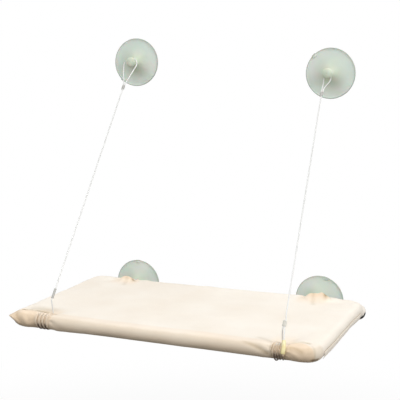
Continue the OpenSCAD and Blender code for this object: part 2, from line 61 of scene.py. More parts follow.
def addNode(material, kind, settings=None, inputs=None, stops=None):
    node = material.node_tree.nodes.new(kind)
    for name, value in (settings or {}).items():
        setattr(node, name, value)
    for name, value in (inputs or {}).items():
        if isinstance(value, bpy.types.NodeSocket):
            material.node_tree.links.new(value, node.inputs[name])
        else:
            node.inputs[name].default_value = value
    if stops:
        while len(node.color_ramp.elements) < len(stops):
            node.color_ramp.elements.new(0.5)
        for element, (position, colour) in zip(node.color_ramp.elements, stops):
            element.position = position
            element.color = linear(colour)
    return node


def startMaterial(name, **values):
    material = bpy.data.materials.new(name)
    material.use_nodes = True
    shader = material.node_tree.nodes["Principled BSDF"]
    for key, value in values.items():
        shader.inputs[key.replace("_", " ")].default_value = value
    return material, shader


def linkTo(material, shader, colour=None, rough=None, normal=None):
    for name, socket in (("Base Color", colour), ("Roughness", rough), ("Normal", normal)):
        if socket:
            material.node_tree.links.new(socket, shader.inputs[name])


def grainyMaterial(name, scale, detail, stops, rough=None, bump=None, **values):
    # a fine noise sets its tone, and its roughness (from, to) and relief (strength, height) where they are given
    material, shader = startMaterial(name, **values)
    place = addNode(material, "ShaderNodeTexCoord")
    noises = {"Vector": place.outputs["Object"], "Scale": scale, "Detail": detail}
    grain = addNode(material, "ShaderNodeTexNoise", inputs=noises).outputs[0]
    tone = addNode(material, "ShaderNodeValToRGB", inputs={0: grain}, stops=stops).outputs[0]
    if rough:
        rough = addNode(material, "ShaderNodeMapRange", inputs={0: grain, 3: rough[0], 4: rough[1]}).outputs[0]
    if bump:
        relief = {"Strength": bump[0], "Distance": bump[1], "Height": grain}
        bump = addNode(material, "ShaderNodeBump", inputs=relief).outputs[0]
    linkTo(material, shader, tone, rough, bump)
    return material


def finishPiece(name, bm, material, body, replaced=(), sharp=None):
    bmesh.ops.scale(bm, vec=(mm, mm, mm), verts=bm.verts)
    mesh = bpy.data.meshes.new(name)
    bm.to_mesh(mesh)
    bm.free()
    mesh.shade_smooth()
    if sharp:
        mesh.set_sharp_from_angle(angle=math.radians(sharp))
    mesh.materials.append(material)
    piece = bpy.data.objects.new(name, mesh)
    bpy.context.scene.collection.objects.link(piece)
    if body:
        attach(piece, body)
    if replaced:
        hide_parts(*replaced)
    return piece


def ease(t):
    t = min(1, max(0, t))
    return t * t * (3 - 2 * t)


def bezier(a, b, c, d, steps, first=0):
    places = [k / steps for k in range(first, steps + 1)]
    return [a * (1 - t) ** 3 + b * 3 * t * (1 - t) ** 2 + c * 3 * t * t * (1 - t) + d * t ** 3 for t in places]


def edgesAmong(edges, verts):
    held = set(verts)
    return [e for e in edges if e.verts[0] in held and e.verts[1] in held]


def sweep(bm, ring, places, capped=True):
    # draws a closed ring of vertices through a list of placing matrices
    bmesh.ops.transform(bm, matrix=places[0], verts=ring)
    edges = edgesAmong(bm.edges, ring)
    rings, ends = [ring], [edges]
    for before, place in zip(places, places[1:]):
        grown = bmesh.ops.extrude_edge_only(bm, edges=edges)["geom"]
        ring = [g for g in grown if isinstance(g, bmesh.types.BMVert)]
        edges = edgesAmong([g for g in grown if isinstance(g, bmesh.types.BMEdge)], ring)
        bmesh.ops.transform(bm, matrix=place @ before.inverted(), verts=ring)
        rings.append(ring)
    if capped:
        ends.append(edges)
        for loop in ends:
            bmesh.ops.edgeloop_fill(bm, edges=loop)
    return rings


def facing(point, along, side):
    return Matrix.Translation(point) @ Matrix((side, along.cross(side), along)).transposed().to_4x4()


# camera, from a fit to the four cups and the platform's outline

view = {"place": (0.6999, -1.9187, 0.5085), "azimuth": 21.96, "down": 8.605, "roll": 0.491, "lens": 87.57}


def makeCamera():
    az, el, roll = (math.radians(view[k]) for k in ("azimuth", "down", "roll"))
    ahead = Vector((-math.sin(az) * math.cos(el), math.cos(az) * math.cos(el), -math.sin(el)))
    across = Vector((math.cos(az), math.sin(az), 0))
    up = across.cross(ahead)
    sideways = across * math.cos(roll) + up * math.sin(roll)
    upwards = up * math.cos(roll) - across * math.sin(roll)
    data = bpy.data.cameras.new("camera")
    data.lens, data.sensor_width = view["lens"], 36
    data.clip_end = 60
    camera = bpy.data.objects.new("camera", data)
    camera.matrix_world = Matrix.Translation(view["place"]) @ Matrix((sideways, upwards, -ahead)).transposed().to_4x4()
    bpy.context.scene.collection.objects.link(camera)
    bpy.context.scene.camera = camera


makeCamera()
print("camera placed")


# sizes that the pieces share, in millimetres

rig = {
    "halfWidth": 288.5, "frontY": -387.0, "rearY": -57.0, "frameZ": 8.0,
    "upperX": (-224, 206), "upperZ": (487, 470), "lowerX": (-220, 196), "lowerZ": (0, 3.5),
    "hookY": -25.7, "loopY": -22.985, "loopRadius": 7.5, "pegTip": 35,
}
cable = {
    "diameter": 2.4, "sides": 12, "strandGap": 3.0, "windRadius": 13.2, "landRadius": (13.2, 15.4),
    "landX": (-222, 239), "ferruleX": (-222, 233), "ferruleUp": (43, 40), "ferruleLength": (20, 10),
    "runX": (-223.5, 204), "eyeLength": (61, 46), "upperFerrule": 10, "windPitch": (7.4, 4.6),
    "windFrom": (-217.8, 239), "windTurn": (1125, 1440), "turnSteps": 36, "settle": 60, "tailOut": 1.6,
    "sleeveAngle": 34, "landShift": 2.0, "landSettle": 220, "backFrom": 1150, "backShift": 8.0, "backOut": 2.5,
    "runSteps": 76, "blendFrom": 18, "turnShadeReach": 18,
}
rearCord = {
    "pitch": 9.6, "turns": 4, "spread": 12.5, "spliceLength": 12, "spliceOut": 16.5, "spliceLow": 7.4, "spliceAngle": 48,
    "tuck": (30, 20), "bendAt": ((3.84, -6.53, 5.64), (3.63, -5.2, 4.34)),
    "bendAim": ((-0.07, 0.14, -0.99), (-0.07, 0.23, -0.97)), "bendReach": (3.35, 2.66), "bendEntry": (2.97, 2.64),
}
eye = {"radius": 15, "spread": 6.8, "drop": 10.5, "steps": 24}


def hook(i):
    return Vector((rig["upperX"][i], rig["hookY"], rig["upperZ"][i]))


def landAngle(i):
    dy, dz = hook(i).y - rig["frontY"], hook(i).z - rig["frameZ"]
    return math.degrees(math.atan2(dz, dy) + math.acos(cable["landRadius"][i] / math.hypot(dy, dz)))


def around(x, axisY, radius, angle):
    a = math.radians(angle)
    return Vector((x, axisY + radius * math.cos(a), rig["frameZ"] + radius * math.sin(a)))


def landPoint(i):
    x = cable["landX"][i] + (cable["landShift"] if i == right else 0)
    return around(x, rig["frontY"], cable["landRadius"][i], landAngle(i))


def lineLength(i):
    return math.hypot(*(hook(i) - landPoint(i)).yz)


def lineDir(i):
    gap = hook(i) - landPoint(i)
    return Vector((0, gap.y, gap.z)) / lineLength(i)


def runLow(i):
    return cable["ferruleUp"][i] + cable["ferruleLength"][i]


def runHigh(i):
    return lineLength(i) - cable["eyeLength"][i] - cable["upperFerrule"]


def linePoint(i, s, side=0):
    point = landPoint(i) + lineDir(i) * s
    low, high = runLow(i) + cable["diameter"], runHigh(i) - cable["diameter"]
    t = min(1, max(0, (s - low) / (high - low)))
    point.x = cable["ferruleX"][i] * (1 - t) + cable["runX"][i] * t + side * cable["strandGap"] / 2
    return point


def windPoint(i, t):
    angle = -t if i == left else landAngle(right) + t
    out = cable["landRadius"][i] - cable["windRadius"]
    radius = cable["windRadius"] + out * (1 - ease((t - cable["sleeveAngle"]) / cable["settle"]))
    x = cable["windFrom"][i] - cable["windPitch"][i] * t / 360
    if i == right:  # starts a little outward under the sleeve, and its last half turn crosses back over the others behind
        since = t - cable["backFrom"]
        back = ease(since / (cable["windTurn"][right] - landAngle(right) - cable["backFrom"]))
        x += cable["landShift"] * (1 - ease(t / cable["landSettle"])) + cable["backShift"] * back
        radius += cable["backOut"] * ease(since / cable["settle"])
    return around(x, rig["frontY"], radius, angle)


def winding(i, span):
    steps = round(cable["turnSteps"] * span / 360)
    return [windPoint(i, span * k / steps) for k in range(steps + 1)]


def runPoints(i, lowSide):
    # the straight run: it leaves the upper ferrule's right strand and ends in the lower ferrule
    high, low, count = runHigh(i), runLow(i), cable["runSteps"]
    places = [high + s for s in (10, 5, 0, -3, -6, -9, -12, -16)]
    places += [high - 16 + (low + 16 - high + 16) * k / count for k in range(1, count)]
    places += [low + s for s in (16, 12, 9, 6, 3, 0, -5)] + [cable["ferruleUp"][i]]
    points = []
    for s in places:
        side = 1 - ease((high - s) / 14) if s > (high + low) / 2 else lowSide * (1 - ease((s - low) / 14))
        points.append(linePoint(i, s, side))
    return points


def eyeTail(i):
    # the strand that comes back through the upper ferrule ends just under it
    high, length = runHigh(i), cable["upperFerrule"]
    return [linePoint(i, s, -1) for s in (high - cable["tailOut"], high, high + length / 2, high + length)]


def eyeStart(i, side=0):
    return linePoint(i, lineLength(i) - cable["eyeLength"][i] + cable["diameter"], side)


def leftEye():
    # open like a drop: an arc that touches the peg's neck, and two straight strands
    low = eyeStart(left)
    top = Vector((rig["upperX"][left], rig["loopY"], rig["upperZ"][left] + rig["loopRadius"]))
    span = (low - top).length
    radius, half, steps = eye["radius"], cable["strandGap"] / 2, eye["steps"]
    a = math.acos(-radius / math.hypot(half, span - radius)) - math.atan2(half, span - radius)

    def at(x, down):
        return top.lerp(low, down / span) + Vector((x, 0, 0))

    arc = [at(radius * math.sin(a * k / steps), radius - radius * math.cos(a * k / steps)) for k in range(-steps, steps + 1)]
    foot = radius - radius * math.cos(a)
    fall = [at(half + (radius * math.sin(a) - half) * t, span + (foot - span) * t) for t in fifths]
    mirrored = []
    for t, point in zip(fifths, fall):
        middle = low.lerp(top, (1 - foot / span) * t)
        mirrored.append(Vector((2 * middle.x - point.x, point.y, point.z)))
    return eyeTail(left) + mirrored + arc + fall[::-1]


def rightEye():
    # hangs narrow behind the peg's head and bends out under it
    away, steps = rig["loopRadius"], eye["steps"]

    def branch(side):
        start = eyeStart(right, side)
        out = hook(right) + Vector((side * eye["spread"], 0, -eye["drop"]))
        shoulder = hook(right) + Vector((side * away, 0, 0))
        return (bezier(start, start + lineDir(right) * 13, out - Vector((0, 0, 7)), out, 16)
                + bezier(out, out + Vector((0, 0, 3.5)), shoulder - Vector((0, 0, 3.5)), shoulder, 5, 1)[:-1])

    turned = [math.pi * k / steps for k in range(steps + 1)]
    over = [hook(right) + Vector((-away * math.cos(a), 0, away * math.sin(a))) for a in turned]
    return eyeTail(right) + branch(-1) + over + branch(1)[::-1]


def leftLashing():
    # drops behind the tube, winds up its front and is tucked away behind it
    start = linePoint(left, cable["ferruleUp"][left])
    down = -lineDir(left) * cable["diameter"]
    first = windPoint(left, 0)
    above = first + Vector((0, 0, (start.z - first.z) * 0.55))
    return bezier(start + down, start + down * 3, above, first, 16) + winding(left, cable["windTurn"][left])[1:]


def rightLashing():
    # comes down in front through its sleeve, winds round the tube and goes back up behind it
    low, high = cable["ferruleUp"][right], runLow(right)
    start = linePoint(right, low)
    gap = Vector((cable["strandGap"] / 2, 0, 0))
    down = -lineDir(right) * cable["diameter"]
    turns = winding(right, cable["windTurn"][right] - landAngle(right))
    first, rise = turns[0], turns[-1]
    above = rise + Vector((0, 0, (start.z - rise.z) * 0.5))
    fall = [(start + gap + down).lerp(first, t) for t in fifths]
    back = bezier(rise, above, start - gap + down * 4, start - gap + down, 16, 1)
    end = [linePoint(right, s, -1) for s in (low, (low + high) / 2, high, high + cable["tailOut"])]
    return fall + turns + back + end


def spliceEnds(i):
    # the rear crimp's near and far ends, and the way it points
    a = math.radians(rearCord["spliceAngle"])
    way = Vector((-math.cos(a), math.sin(a), 0))
    middle = Vector((rig["lowerX"][i] + rearCord["spliceOut"], -rig["pegTip"], rig["lowerZ"][i] - rearCord["spliceLow"]))
    return middle + way * rearCord["spliceLength"] / 2, middle - way * rearCord["spliceLength"] / 2, way


def rearPath(i):
    # from its crimp over the peg's neck, down under the rear tube, round it and back to the crimp
    near, far, way = spliceEnds(i)
    neck = Vector((rig["lowerX"][i], rig["loopY"], rig["lowerZ"][i]))
    reach = rig["loopRadius"]
    outer, inner = neck + Vector((reach, 0, 0)), neck - Vector((reach, 0, 0))

    def turn(angle):
        x = rig["lowerX"][i] - rearCord["spread"] + rearCord["pitch"] * (270 - angle) / 360
        return around(x, rig["rearY"], cable["windRadius"], angle)

    endAngle = 360 - 360 * rearCord["turns"] - rearCord["tuck"][i]
    first, last, before = turn(270), turn(endAngle), turn(endAngle + 10)
    bend, aim = far + Vector(rearCord["bendAt"][i]), Vector(rearCord["bendAim"][i])
    entry, entering = far - way * 0.8, far - way * (0.8 + rearCord["bendEntry"][i])
    steps = round(cable["turnSteps"] * (270 - endAngle) / 360)
    return ([near] + bezier(near + way * 2.4, near + way * 6, outer - Vector((0, 0, 6)), outer, 10)
            + [neck + Vector((math.cos(math.pi * k / 16), 0, math.sin(math.pi * k / 16))) * reach for k in range(1, 17)]
            + bezier(inner, inner - Vector((0, 0, 13)), first + Vector((0, 12, 0)), first, 20, 1)
            + [turn(270 + (endAngle - 270) * k / steps) for k in range(1, steps + 1)]
            + bezier(last, last + (last - before).normalized(), bend - aim, bend, 4, 1)
            + bezier(bend, bend + aim * rearCord["bendReach"][i], entering, entry, 10, 1) + [far])


# 7 x 7 stranded steel in a clear coat: pale grey, bright and a little milky, with the strands' twist showing
cableSteel, shader = startMaterial("coatedStrandedSteel", Base_Color=linear("dcdcda"), Metallic=0.2, Roughness=0.38,
                                   Coat_Weight=0.6, Coat_Roughness=0.14, Coat_IOR=1.5)
place = addNode(cableSteel, "ShaderNodeUVMap", {"uv_map": "UVMap"})
parts = addNode(cableSteel, "ShaderNodeSeparateXYZ", inputs={0: place.outputs[0]})
lay = addNode(cableSteel, "ShaderNodeMath", {"operation": "MULTIPLY"},  # one strand's lay is 16 mm
              {0: parts.outputs["Y"], 1: 1 / 0.016})
twist = addNode(cableSteel, "ShaderNodeMath", {"operation": "ADD"}, {0: lay.outputs[0], 1: parts.outputs["X"]})
strands = addNode(cableSteel, "ShaderNodeMath", {"operation": "MULTIPLY"}, {0: twist.outputs[0], 1: 6 * 2 * math.pi})
wave = addNode(cableSteel, "ShaderNodeMath", {"operation": "SINE"}, {0: strands.outputs[0]})
height = addNode(cableSteel, "ShaderNodeMath", {"operation": "MULTIPLY_ADD"}, {0: wave.outputs[0], 1: 0.5, 2: 0.5})
pale = addNode(cableSteel, "ShaderNodeValToRGB", inputs={0: height.outputs[0]},
               stops=[(0.0, "cbcbc8"), (0.35, "dadad8"), (1.0, "e6e6e4")])
# the turns round the cloth are painted brown as shade: tinted like the cloth on their turns and dark brown on their low
# sides; the coat is turned down there
turnShade = addNode(cableSteel, "ShaderNodeAttribute", {"attribute_name": "turnShade"})
turnShadeMix = addNode(cableSteel, "ShaderNodeMapRange", inputs={0: turnShade.outputs["Fac"], 2: 0.4})
turnShadeBrown = addNode(cableSteel, "ShaderNodeValToRGB", inputs={0: turnShade.outputs["Fac"]}, stops=[(0.4, "dcc5aa"), (1.0, "5c4635")])
tone = addNode(cableSteel, "ShaderNodeMix", {"data_type": "RGBA"},
               {0: turnShadeMix.outputs[0], 6: pale.outputs[0], 7: turnShadeBrown.outputs[0]})
dulled = addNode(cableSteel, "ShaderNodeMapRange", inputs={0: turnShade.outputs["Fac"], 2: 0.4, 3: 0.6, 4: 0.05})
cableSteel.node_tree.links.new(dulled.outputs[0], shader.inputs["Coat Weight"])
ridge = addNode(cableSteel, "ShaderNodeBump", inputs={"Strength": 0.45, "Distance": 0.00014, "Height": height.outputs[0]})
linkTo(cableSteel, shader, tone.outputs[2], None, ridge.outputs[0])


def turnShadeAt(co):
    # painted shade on the turns: 0 away from the lashings, 0.4 on their turns and 1 on the turns' low sides
    near = cable["turnShadeReach"]
    held = max(ease((near - abs(co.z - 4)) / 3) * ease((near - abs(co.y - axisY)) / 3)
               for axisY in (rig["frontY"], rig["rearY"]))
    return held * (0.4 + 0.6 * ease((rig["frameZ"] + 3 - co.z) / 6))


def makeCable(name, points, body, replaced):
    bm = bmesh.new()
    turnShade, along, turned = (bm.verts.layers.float.new(key) for key in ("turnShade", "along", "turned"))
    places, side = [], None
    for k, point in enumerate(points):
        ahead = (points[min(k + 1, len(points) - 1)] - points[max(k - 1, 0)]).normalized()
        side = ahead.orthogonal() if side is None else side - ahead * side.dot(ahead)
        side.normalize()
        places.append(facing(point, ahead, side))
    ring = bmesh.ops.create_circle(bm, radius=cable["diameter"] / 2, segments=cable["sides"])["verts"]
    reach = 0
    for k, ring in enumerate(sweep(bm, ring, places)):
        reach += (points[k] - points[k - 1]).length if k else 0
        back = places[k].inverted()
        for v in ring:
            local = back @ v.co
            v[along] = reach * mm
            # painted shade on the lashing turns
            v[turnShade] = turnShadeAt(v.co)
            v[turned] = math.atan2(local.y, local.x) / (2 * math.pi) % 1
    bmesh.ops.recalc_face_normals(bm, faces=bm.faces)
    uv = bm.loops.layers.uv.new("UVMap")
    for face in bm.faces:
        turns = [loop.vert[turned] for loop in face.loops]
        wraps = max(turns) - min(turns) > 0.5
        for loop, turn in zip(face.loops, turns):
            loop[uv].uv = (turn + 1 if wraps and turn < 0.5 else turn, loop.vert[along])
    return finishPiece(name, bm, cableSteel, body, replaced)


def hangCable(i, points):
    # taut from the glass to the platform, and joined to no body
    replaced = [f"{sides[i]}_{part}" for part in ("cable_eye", "cable_run", "front_lashing")]
    piece = makeCable(f"{sides[i]}_cable", points, None, replaced)
    linePoint(i, runHigh(i) - cable["blendFrom"]) * mm
    linePoint(i, runLow(i) + cable["blendFrom"]) * mm
    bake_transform(piece)


hangCable(left, leftEye() + runPoints(left, 0) + leftLashing())
hangCable(right, rightEye() + runPoints(right, 1) + rightLashing())
for i, word in enumerate(sides):
    points = rearPath(i)
    makeCable(f"{word}_rear_cord", points, "root", [f"{word}_rear_lashing"])
print("cables made")


# ferrules and the sleeve

ferrule = {
    "wall": 0.8, "dent": 0.84, "bulge": 1.03, "squeeze": 0.28, "segments": 28, "ends": ((0, 0.86), (0.25, 0.95), (0.7, 1)),
    "leftLowerDiameter": 4.6, "spliceDiameter": 5.0, "upperTight": 0.3,
}
sleeve = {"diameter": 7.4, "length": 23, "bore": 2.9}

# aluminium sleeves squeezed by a hand tool: dull grey, and paler where one has stayed clean
crimpedAluminium = grainyMaterial("crimpedAluminium", 900, 3, [(0.3, "999894"), (0.7, "b4b3af")], (0.42, 0.6), (0.35, 0.0002),
                                  Base_Color=linear("a6a5a1"), Metallic=0.55, Roughness=0.5)
cleanAluminium = grainyMaterial("cleanAluminium", 900, 3, [(0.3, "b6b4ab"), (0.7, "cac8c0")], (0.42, 0.6), (0.35, 0.0002),
                                Base_Color=linear("c0beb6"), Metallic=0.55, Roughness=0.5)
# thin pale yellow vinyl tubing, pushed over the cable: half matt, yellower where it is thick
yellowVinyl = grainyMaterial("yellowVinylTubing", 160, 2, [(0.35, "e6d79a"), (0.65, "efe6b8")], bump=(0.25, 0.0004),
                             Base_Color=linear("ebe0a9"), Roughness=0.42, Coat_Weight=0.25, Coat_Roughness=0.25)


def makeFerrule(node, low, high, radius, gap, squeezes, body):
    # a tube, or two side by side, with the lands that the crimping tool leaves
    bm = bmesh.new()
    ahead = (high - low).normalized()
    length = (high - low).length
    side = (Vector((1, 0, 0)) - ahead * ahead.x).normalized()
    ring = bmesh.ops.create_circle(bm, radius=radius, segments=ferrule["segments"])["verts"]
    for v in ring:
        if abs(v.co.x) > 0.01:
            v.co.x += math.copysign(gap / 2, v.co.x)
    dented = (ferrule["bulge"], ferrule["dent"])
    stations = [(s / length, width, width) for s, width in ferrule["ends"]]
    for k in range(squeezes):
        middle, half = (k + 1) / (squeezes + 1), ferrule["squeeze"] / (squeezes + 1)
        stations += [(middle - half, 1, 1), (middle - half * 0.6, *dented)]
        stations += [(middle + half * 0.6, *dented), (middle + half, 1, 1)]
    stations += [(1 - s / length, width, width) for s, width in reversed(ferrule["ends"])]
    places = [facing(low + ahead * length * t, ahead, side) @ Matrix.Diagonal((sx, sy, 1, 1)) for t, sx, sy in stations]
    sweep(bm, ring, places)
    bmesh.ops.recalc_face_normals(bm, faces=bm.faces)
    metal = cleanAluminium if node == "right_lower_ferrule" else crimpedAluminium
    finishPiece(node + "_crimp", bm, metal, body, [node], sharp=50)


def makeSleeve():
    # pushed down the strand until it bends with it over the front of the roll
    bm = bmesh.new()
    low = landPoint(right)
    high = linePoint(right, cable["ferruleUp"][right], 1)
    ahead = (high - low).normalized()
    above = sleeve["length"] - math.radians(cable["sleeveAngle"]) * cable["landRadius"][right]
    line = [low + ahead * above * k / 8 for k in range(8, 0, -1)]
    line += [windPoint(right, cable["sleeveAngle"] * k / 6) for k in range(7)]
    bore = sleeve["bore"] / sleeve["diameter"]
    last = len(line) - 1
    stations = [(0, bore), (0, 0.9)] + [(k, 1 + 0.02 * math.sin(2.1 * k) - 0.02 * (k in (0, last))) for k in range(last + 1)]
    stations += [(last, 0.9), (last, bore)] + [(k, bore) for k in range(last - 1, -1, -1)]
    ring = bmesh.ops.create_circle(bm, radius=sleeve["diameter"] / 2, segments=32)["verts"]
    places, side = [], Vector((1, 0, 0))
    for k, width in stations:
        along = (line[min(k + 1, last)] - line[max(k - 1, 0)]).normalized()
        side = (side - along * side.dot(along)).normalized()
        places.append(facing(line[k], along, side) @ Matrix.Diagonal((width, width, 1, 1)))
    sweep(bm, ring, places, capped=False)
    bmesh.ops.remove_doubles(bm, verts=bm.verts, dist=0.0005)
    bmesh.ops.recalc_face_normals(bm, faces=bm.faces)
    finishPiece("right_sleeve", bm, yellowVinyl, "platform", ["right_cable_sleeve"], sharp=50)


strandRadius = cable["diameter"] / 2 + ferrule["wall"]
for i, word in enumerate(sides):
    makeFerrule(f"{word}_upper_ferrule", linePoint(i, runHigh(i)), linePoint(i, runHigh(i) + cable["upperFerrule"]),
                strandRadius - ferrule["upperTight"], cable["strandGap"], 2, "root")
    near, far, way = spliceEnds(i)
    makeFerrule(f"{word}_rear_splice", far, near, ferrule["spliceDiameter"] / 2, 0, 2, "root")
lowerEnds = [(linePoint(i, cable["ferruleUp"][i]), linePoint(i, runLow(i))) for i in (left, right)]
makeFerrule("left_lower_ferrule", *lowerEnds[left], ferrule["leftLowerDiameter"] / 2, 0, 4, "platform")
makeFerrule("right_lower_ferrule", *lowerEnds[right], strandRadius, cable["strandGap"], 2, "platform")
makeSleeve()
print("ferrules and sleeve made")


# suction cups

cup = {
    "diameter": 102, "lip": 4, "rim": 2.4, "hollow": 3, "dome": 17, "neck": 12, "neckLength": 10.5,
    "head": 21, "headThickness": 7.5, "grip": 9, "steps": 112, "gripAngles": (230, 135, 90, 75),
}

# soft clear PVC, cast and a little clouded: pale grey-green, darker at the thick rim, with painted shade toning down
# the middle and the peg
softVinyl, shader = startMaterial("cloudedSoftVinyl", Base_Color=linear("dbe4dc"), Roughness=0.6, IOR=1.53,
                                  Specular_IOR_Level=0.2, Subsurface_Weight=0.15, Subsurface_Scale=0.01)
place = addNode(softVinyl, "ShaderNodeTexCoord")
cloud = addNode(softVinyl, "ShaderNodeTexNoise", inputs={"Vector": place.outputs["Object"], "Scale": 26, "Detail": 2})
greener = addNode(softVinyl, "ShaderNodeValToRGB", inputs={0: cloud.outputs[0]},
                  stops=[(0.3, "d4e2d8"), (0.5, "dbe4dc"), (0.7, "e2e5e0")])
away = addNode(softVinyl, "ShaderNodeAttribute", {"attribute_name": "away"})
# painted shade over the middle and the peg; the darker band at the edge is the thick rim
rimAndShadedMiddle = addNode(softVinyl, "ShaderNodeValToRGB", inputs={0: away.outputs["Fac"]},
                 stops=[(0.0, "f8faee"), (0.22, "eff1e4"), (0.4, "f3f4ed"), (0.75, "ffffff"), (0.95, "ffffff"),
                        (0.972, "d9dcd9"), (1.0, "cdd0cd")])
tone = addNode(softVinyl, "ShaderNodeMix", {"data_type": "RGBA", "blend_type": "MULTIPLY"},
               {0: 1.0, 6: greener.outputs[0], 7: rimAndShadedMiddle.outputs[0]})
swirl = addNode(softVinyl, "ShaderNodeBump", inputs={"Strength": 0.12, "Distance": 0.001, "Height": cloud.outputs[0]})
linkTo(softVinyl, shader, tone.outputs[2], None, swirl.outputs[0])


def cupProfile():
    # half of the cup's section, as distances from its axis and from the glass: hollow, lip, dome, neck and head
    r, rim, dome, neck = cup["diameter"] / 2, cup["rim"], cup["dome"], cup["neck"] / 2
    inner, head, thick = r - cup["lip"], cup["head"] / 2, cup["headThickness"]
    under = dome + cup["neckLength"]
    points = [(0, cup["hollow"])]
    points += [(inner * k / 12, cup["hollow"] * (1 - (k / 12) ** 2)) for k in range(1, 13)]
    points += [(r - rim / 4, 0)]
    points += [(r - rim * 0.35 + rim * 0.35 * math.cos(a), rim * 0.5 + rim * 0.5 * math.sin(a))
               for a in (-1.1, -0.6, 0, 0.6, 1.1, 1.5)]
    points += [(r - rim * 0.9, rim * 0.97), (r - rim * 1.2, rim * 0.8)]
    start, shoulder, low = r - rim * 1.6, neck + cup["neck"] / 3, rim * 0.7
    points += [(start + (shoulder - start) * t, low + (dome * 0.72 - low) * t ** 2.2) for t in (k / 20 for k in range(21))]
    points += [(neck + 2.4, dome * 0.79), (neck + 1.1, dome * 0.88), (neck + 0.3, dome * 0.96), (neck, dome + 0.6)]
    points += [(neck, dome + 4), (neck, under - 2), (neck + 0.25, under - 0.7), (neck + 0.9, under), (head - 1.4, under)]
    points += [(head - 0.5, under + 0.35), (head - 0.08, under + 1.1)]
    points += [(head * math.cos(a), under + thick * (0.35 + 0.65 * math.sin(a)))
               for a in (math.pi * k / 24 for k in range(12))]
    return points + [(1.9, under + thick), (1.5, under + thick - 0.45), (0, under + thick - 0.5)]


def makeCup(node, x, z, gripAngle):
    bm = bmesh.new()
    away = bm.verts.layers.float.new("away")
    points = [bm.verts.new((r, -h, 0)) for r, h in cupProfile()]
    edges = [bm.edges.new(pair) for pair in zip(points, points[1:])]
    bmesh.ops.spin(bm, geom=points + edges, cent=(0, 0, 0), axis=(0, 1, 0), angle=2 * math.pi, steps=cup["steps"],
                   use_merge=True)
    bmesh.ops.remove_doubles(bm, verts=bm.verts, dist=0.002)
    # the small tab on the rim that lifts the cup off the glass
    length = cup["grip"] * 0.62 + cup["rim"] * 0.3
    tab = bmesh.ops.create_cube(bm, size=1)["verts"]
    bmesh.ops.scale(bm, vec=(length, cup["rim"], cup["grip"]), verts=tab)
    geom = tab + edgesAmong(bm.edges, tab)
    rounded = bmesh.ops.bevel(bm, geom=geom, offset=0.9, segments=3, profile=0.5, affect="EDGES", material=-1)["verts"]
    out = cup["diameter"] / 2 + cup["rim"] * 0.3 - length / 2
    bmesh.ops.translate(bm, vec=(out, -cup["rim"] * 1.1, 0), verts=rounded)
    bmesh.ops.rotate(bm, cent=(0, 0, 0), matrix=Matrix.Rotation(-math.radians(gripAngle), 3, "Y"), verts=rounded)
    bmesh.ops.recalc_face_normals(bm, faces=bm.faces)
    for v in bm.verts:
        v[away] = math.hypot(v.co.x, v.co.z) / (cup["diameter"] / 2)
    bmesh.ops.translate(bm, vec=(x, 0, z), verts=bm.verts)
    finishPiece(node + "_vinyl", bm, softVinyl, "root", [node], sharp=60)


for node, x, z, angle in zip(("upper_left_cup", "upper_right_cup", "lower_left_cup", "lower_right_cup"),
                             rig["upperX"] + rig["lowerX"], rig["upperZ"] + rig["lowerZ"], cup["gripAngles"]):
    makeCup(node, x, z, angle)
print("cups made")


# the fabric cover

cover = {
    "rollRadius": 13.5, "tubeClear": 11.65, "elbowClear": 13.45, "cornerBend": 16.0, "sag": 4.0, "underSag": 3.0,
    "cornerBevel": 29, "rimBevel": 11, "voxel": 7.4, "thickness": 0.9, "flat": (0.64, 0.77),
    "cinchRadius": 11.75, "cinchReach": 19.0, "bandReach": 17, "pinch": 1.0,
    "footRadius": 16.1, "openingWay": (0.4, 0.332, -0.854), "openingEdge": 0.27,
}
# how far the cloth lies in or out at some places, in millimetres
drape = {"uneven": 1.6, "behindFront": -1.6, "frontMiddle": -1.2, "rearRight": 4.4, "rearLeft": -1.3, "pucker": 1.1}
# the sewn corner at the front left: drawn out and pressed flat, each from a distance, over a length, with a power
ear = {
    "centre": (-272.5, -371.0), "bearing": 45, "spread": 48, "way": (-0.72, -0.69), "length": 9.0, "flatness": 0.9,
    "height": 15.5, "fullness": 0.16, "drawn": (13, 16.5, 1.4), "pressed": (14, 15.5, 1.3),
}
# gathered cloth in front of the rear lashings: middle, half width, height, width of its ripples, its crease, dented and
# painted dark as shade
gathered = [(220, 16, 15.5, 3.1, 228), (205, 18, 13.3, 4.3, 228), (-211, 16, 11.8, 2.9, -196)]
# lashed places, the front two first: middle, half length, swell between the turns, and then where the turns lie
lashed = [
    {"x": -229.0, "half": 13.5, "rise": 4.8}, {"x": 231.0, "half": 11.5, "rise": 4.7},
    {"x": -214.5, "half": 19.0, "rise": 1.3}, {"x": 201.5, "half": 21.0, "rise": 1.3},
]
for i, front, rear in zip((left, right), lashed[:2], lashed[2:]):
    front.update(side=i, y=rig["frontY"], pitch=-cable["windPitch"][i], start=cable["windFrom"][i])
    rear.update(side=i, y=rig["rearY"], pitch=rearCord["pitch"], start=rig["lowerX"][i] - rearCord["spread"])
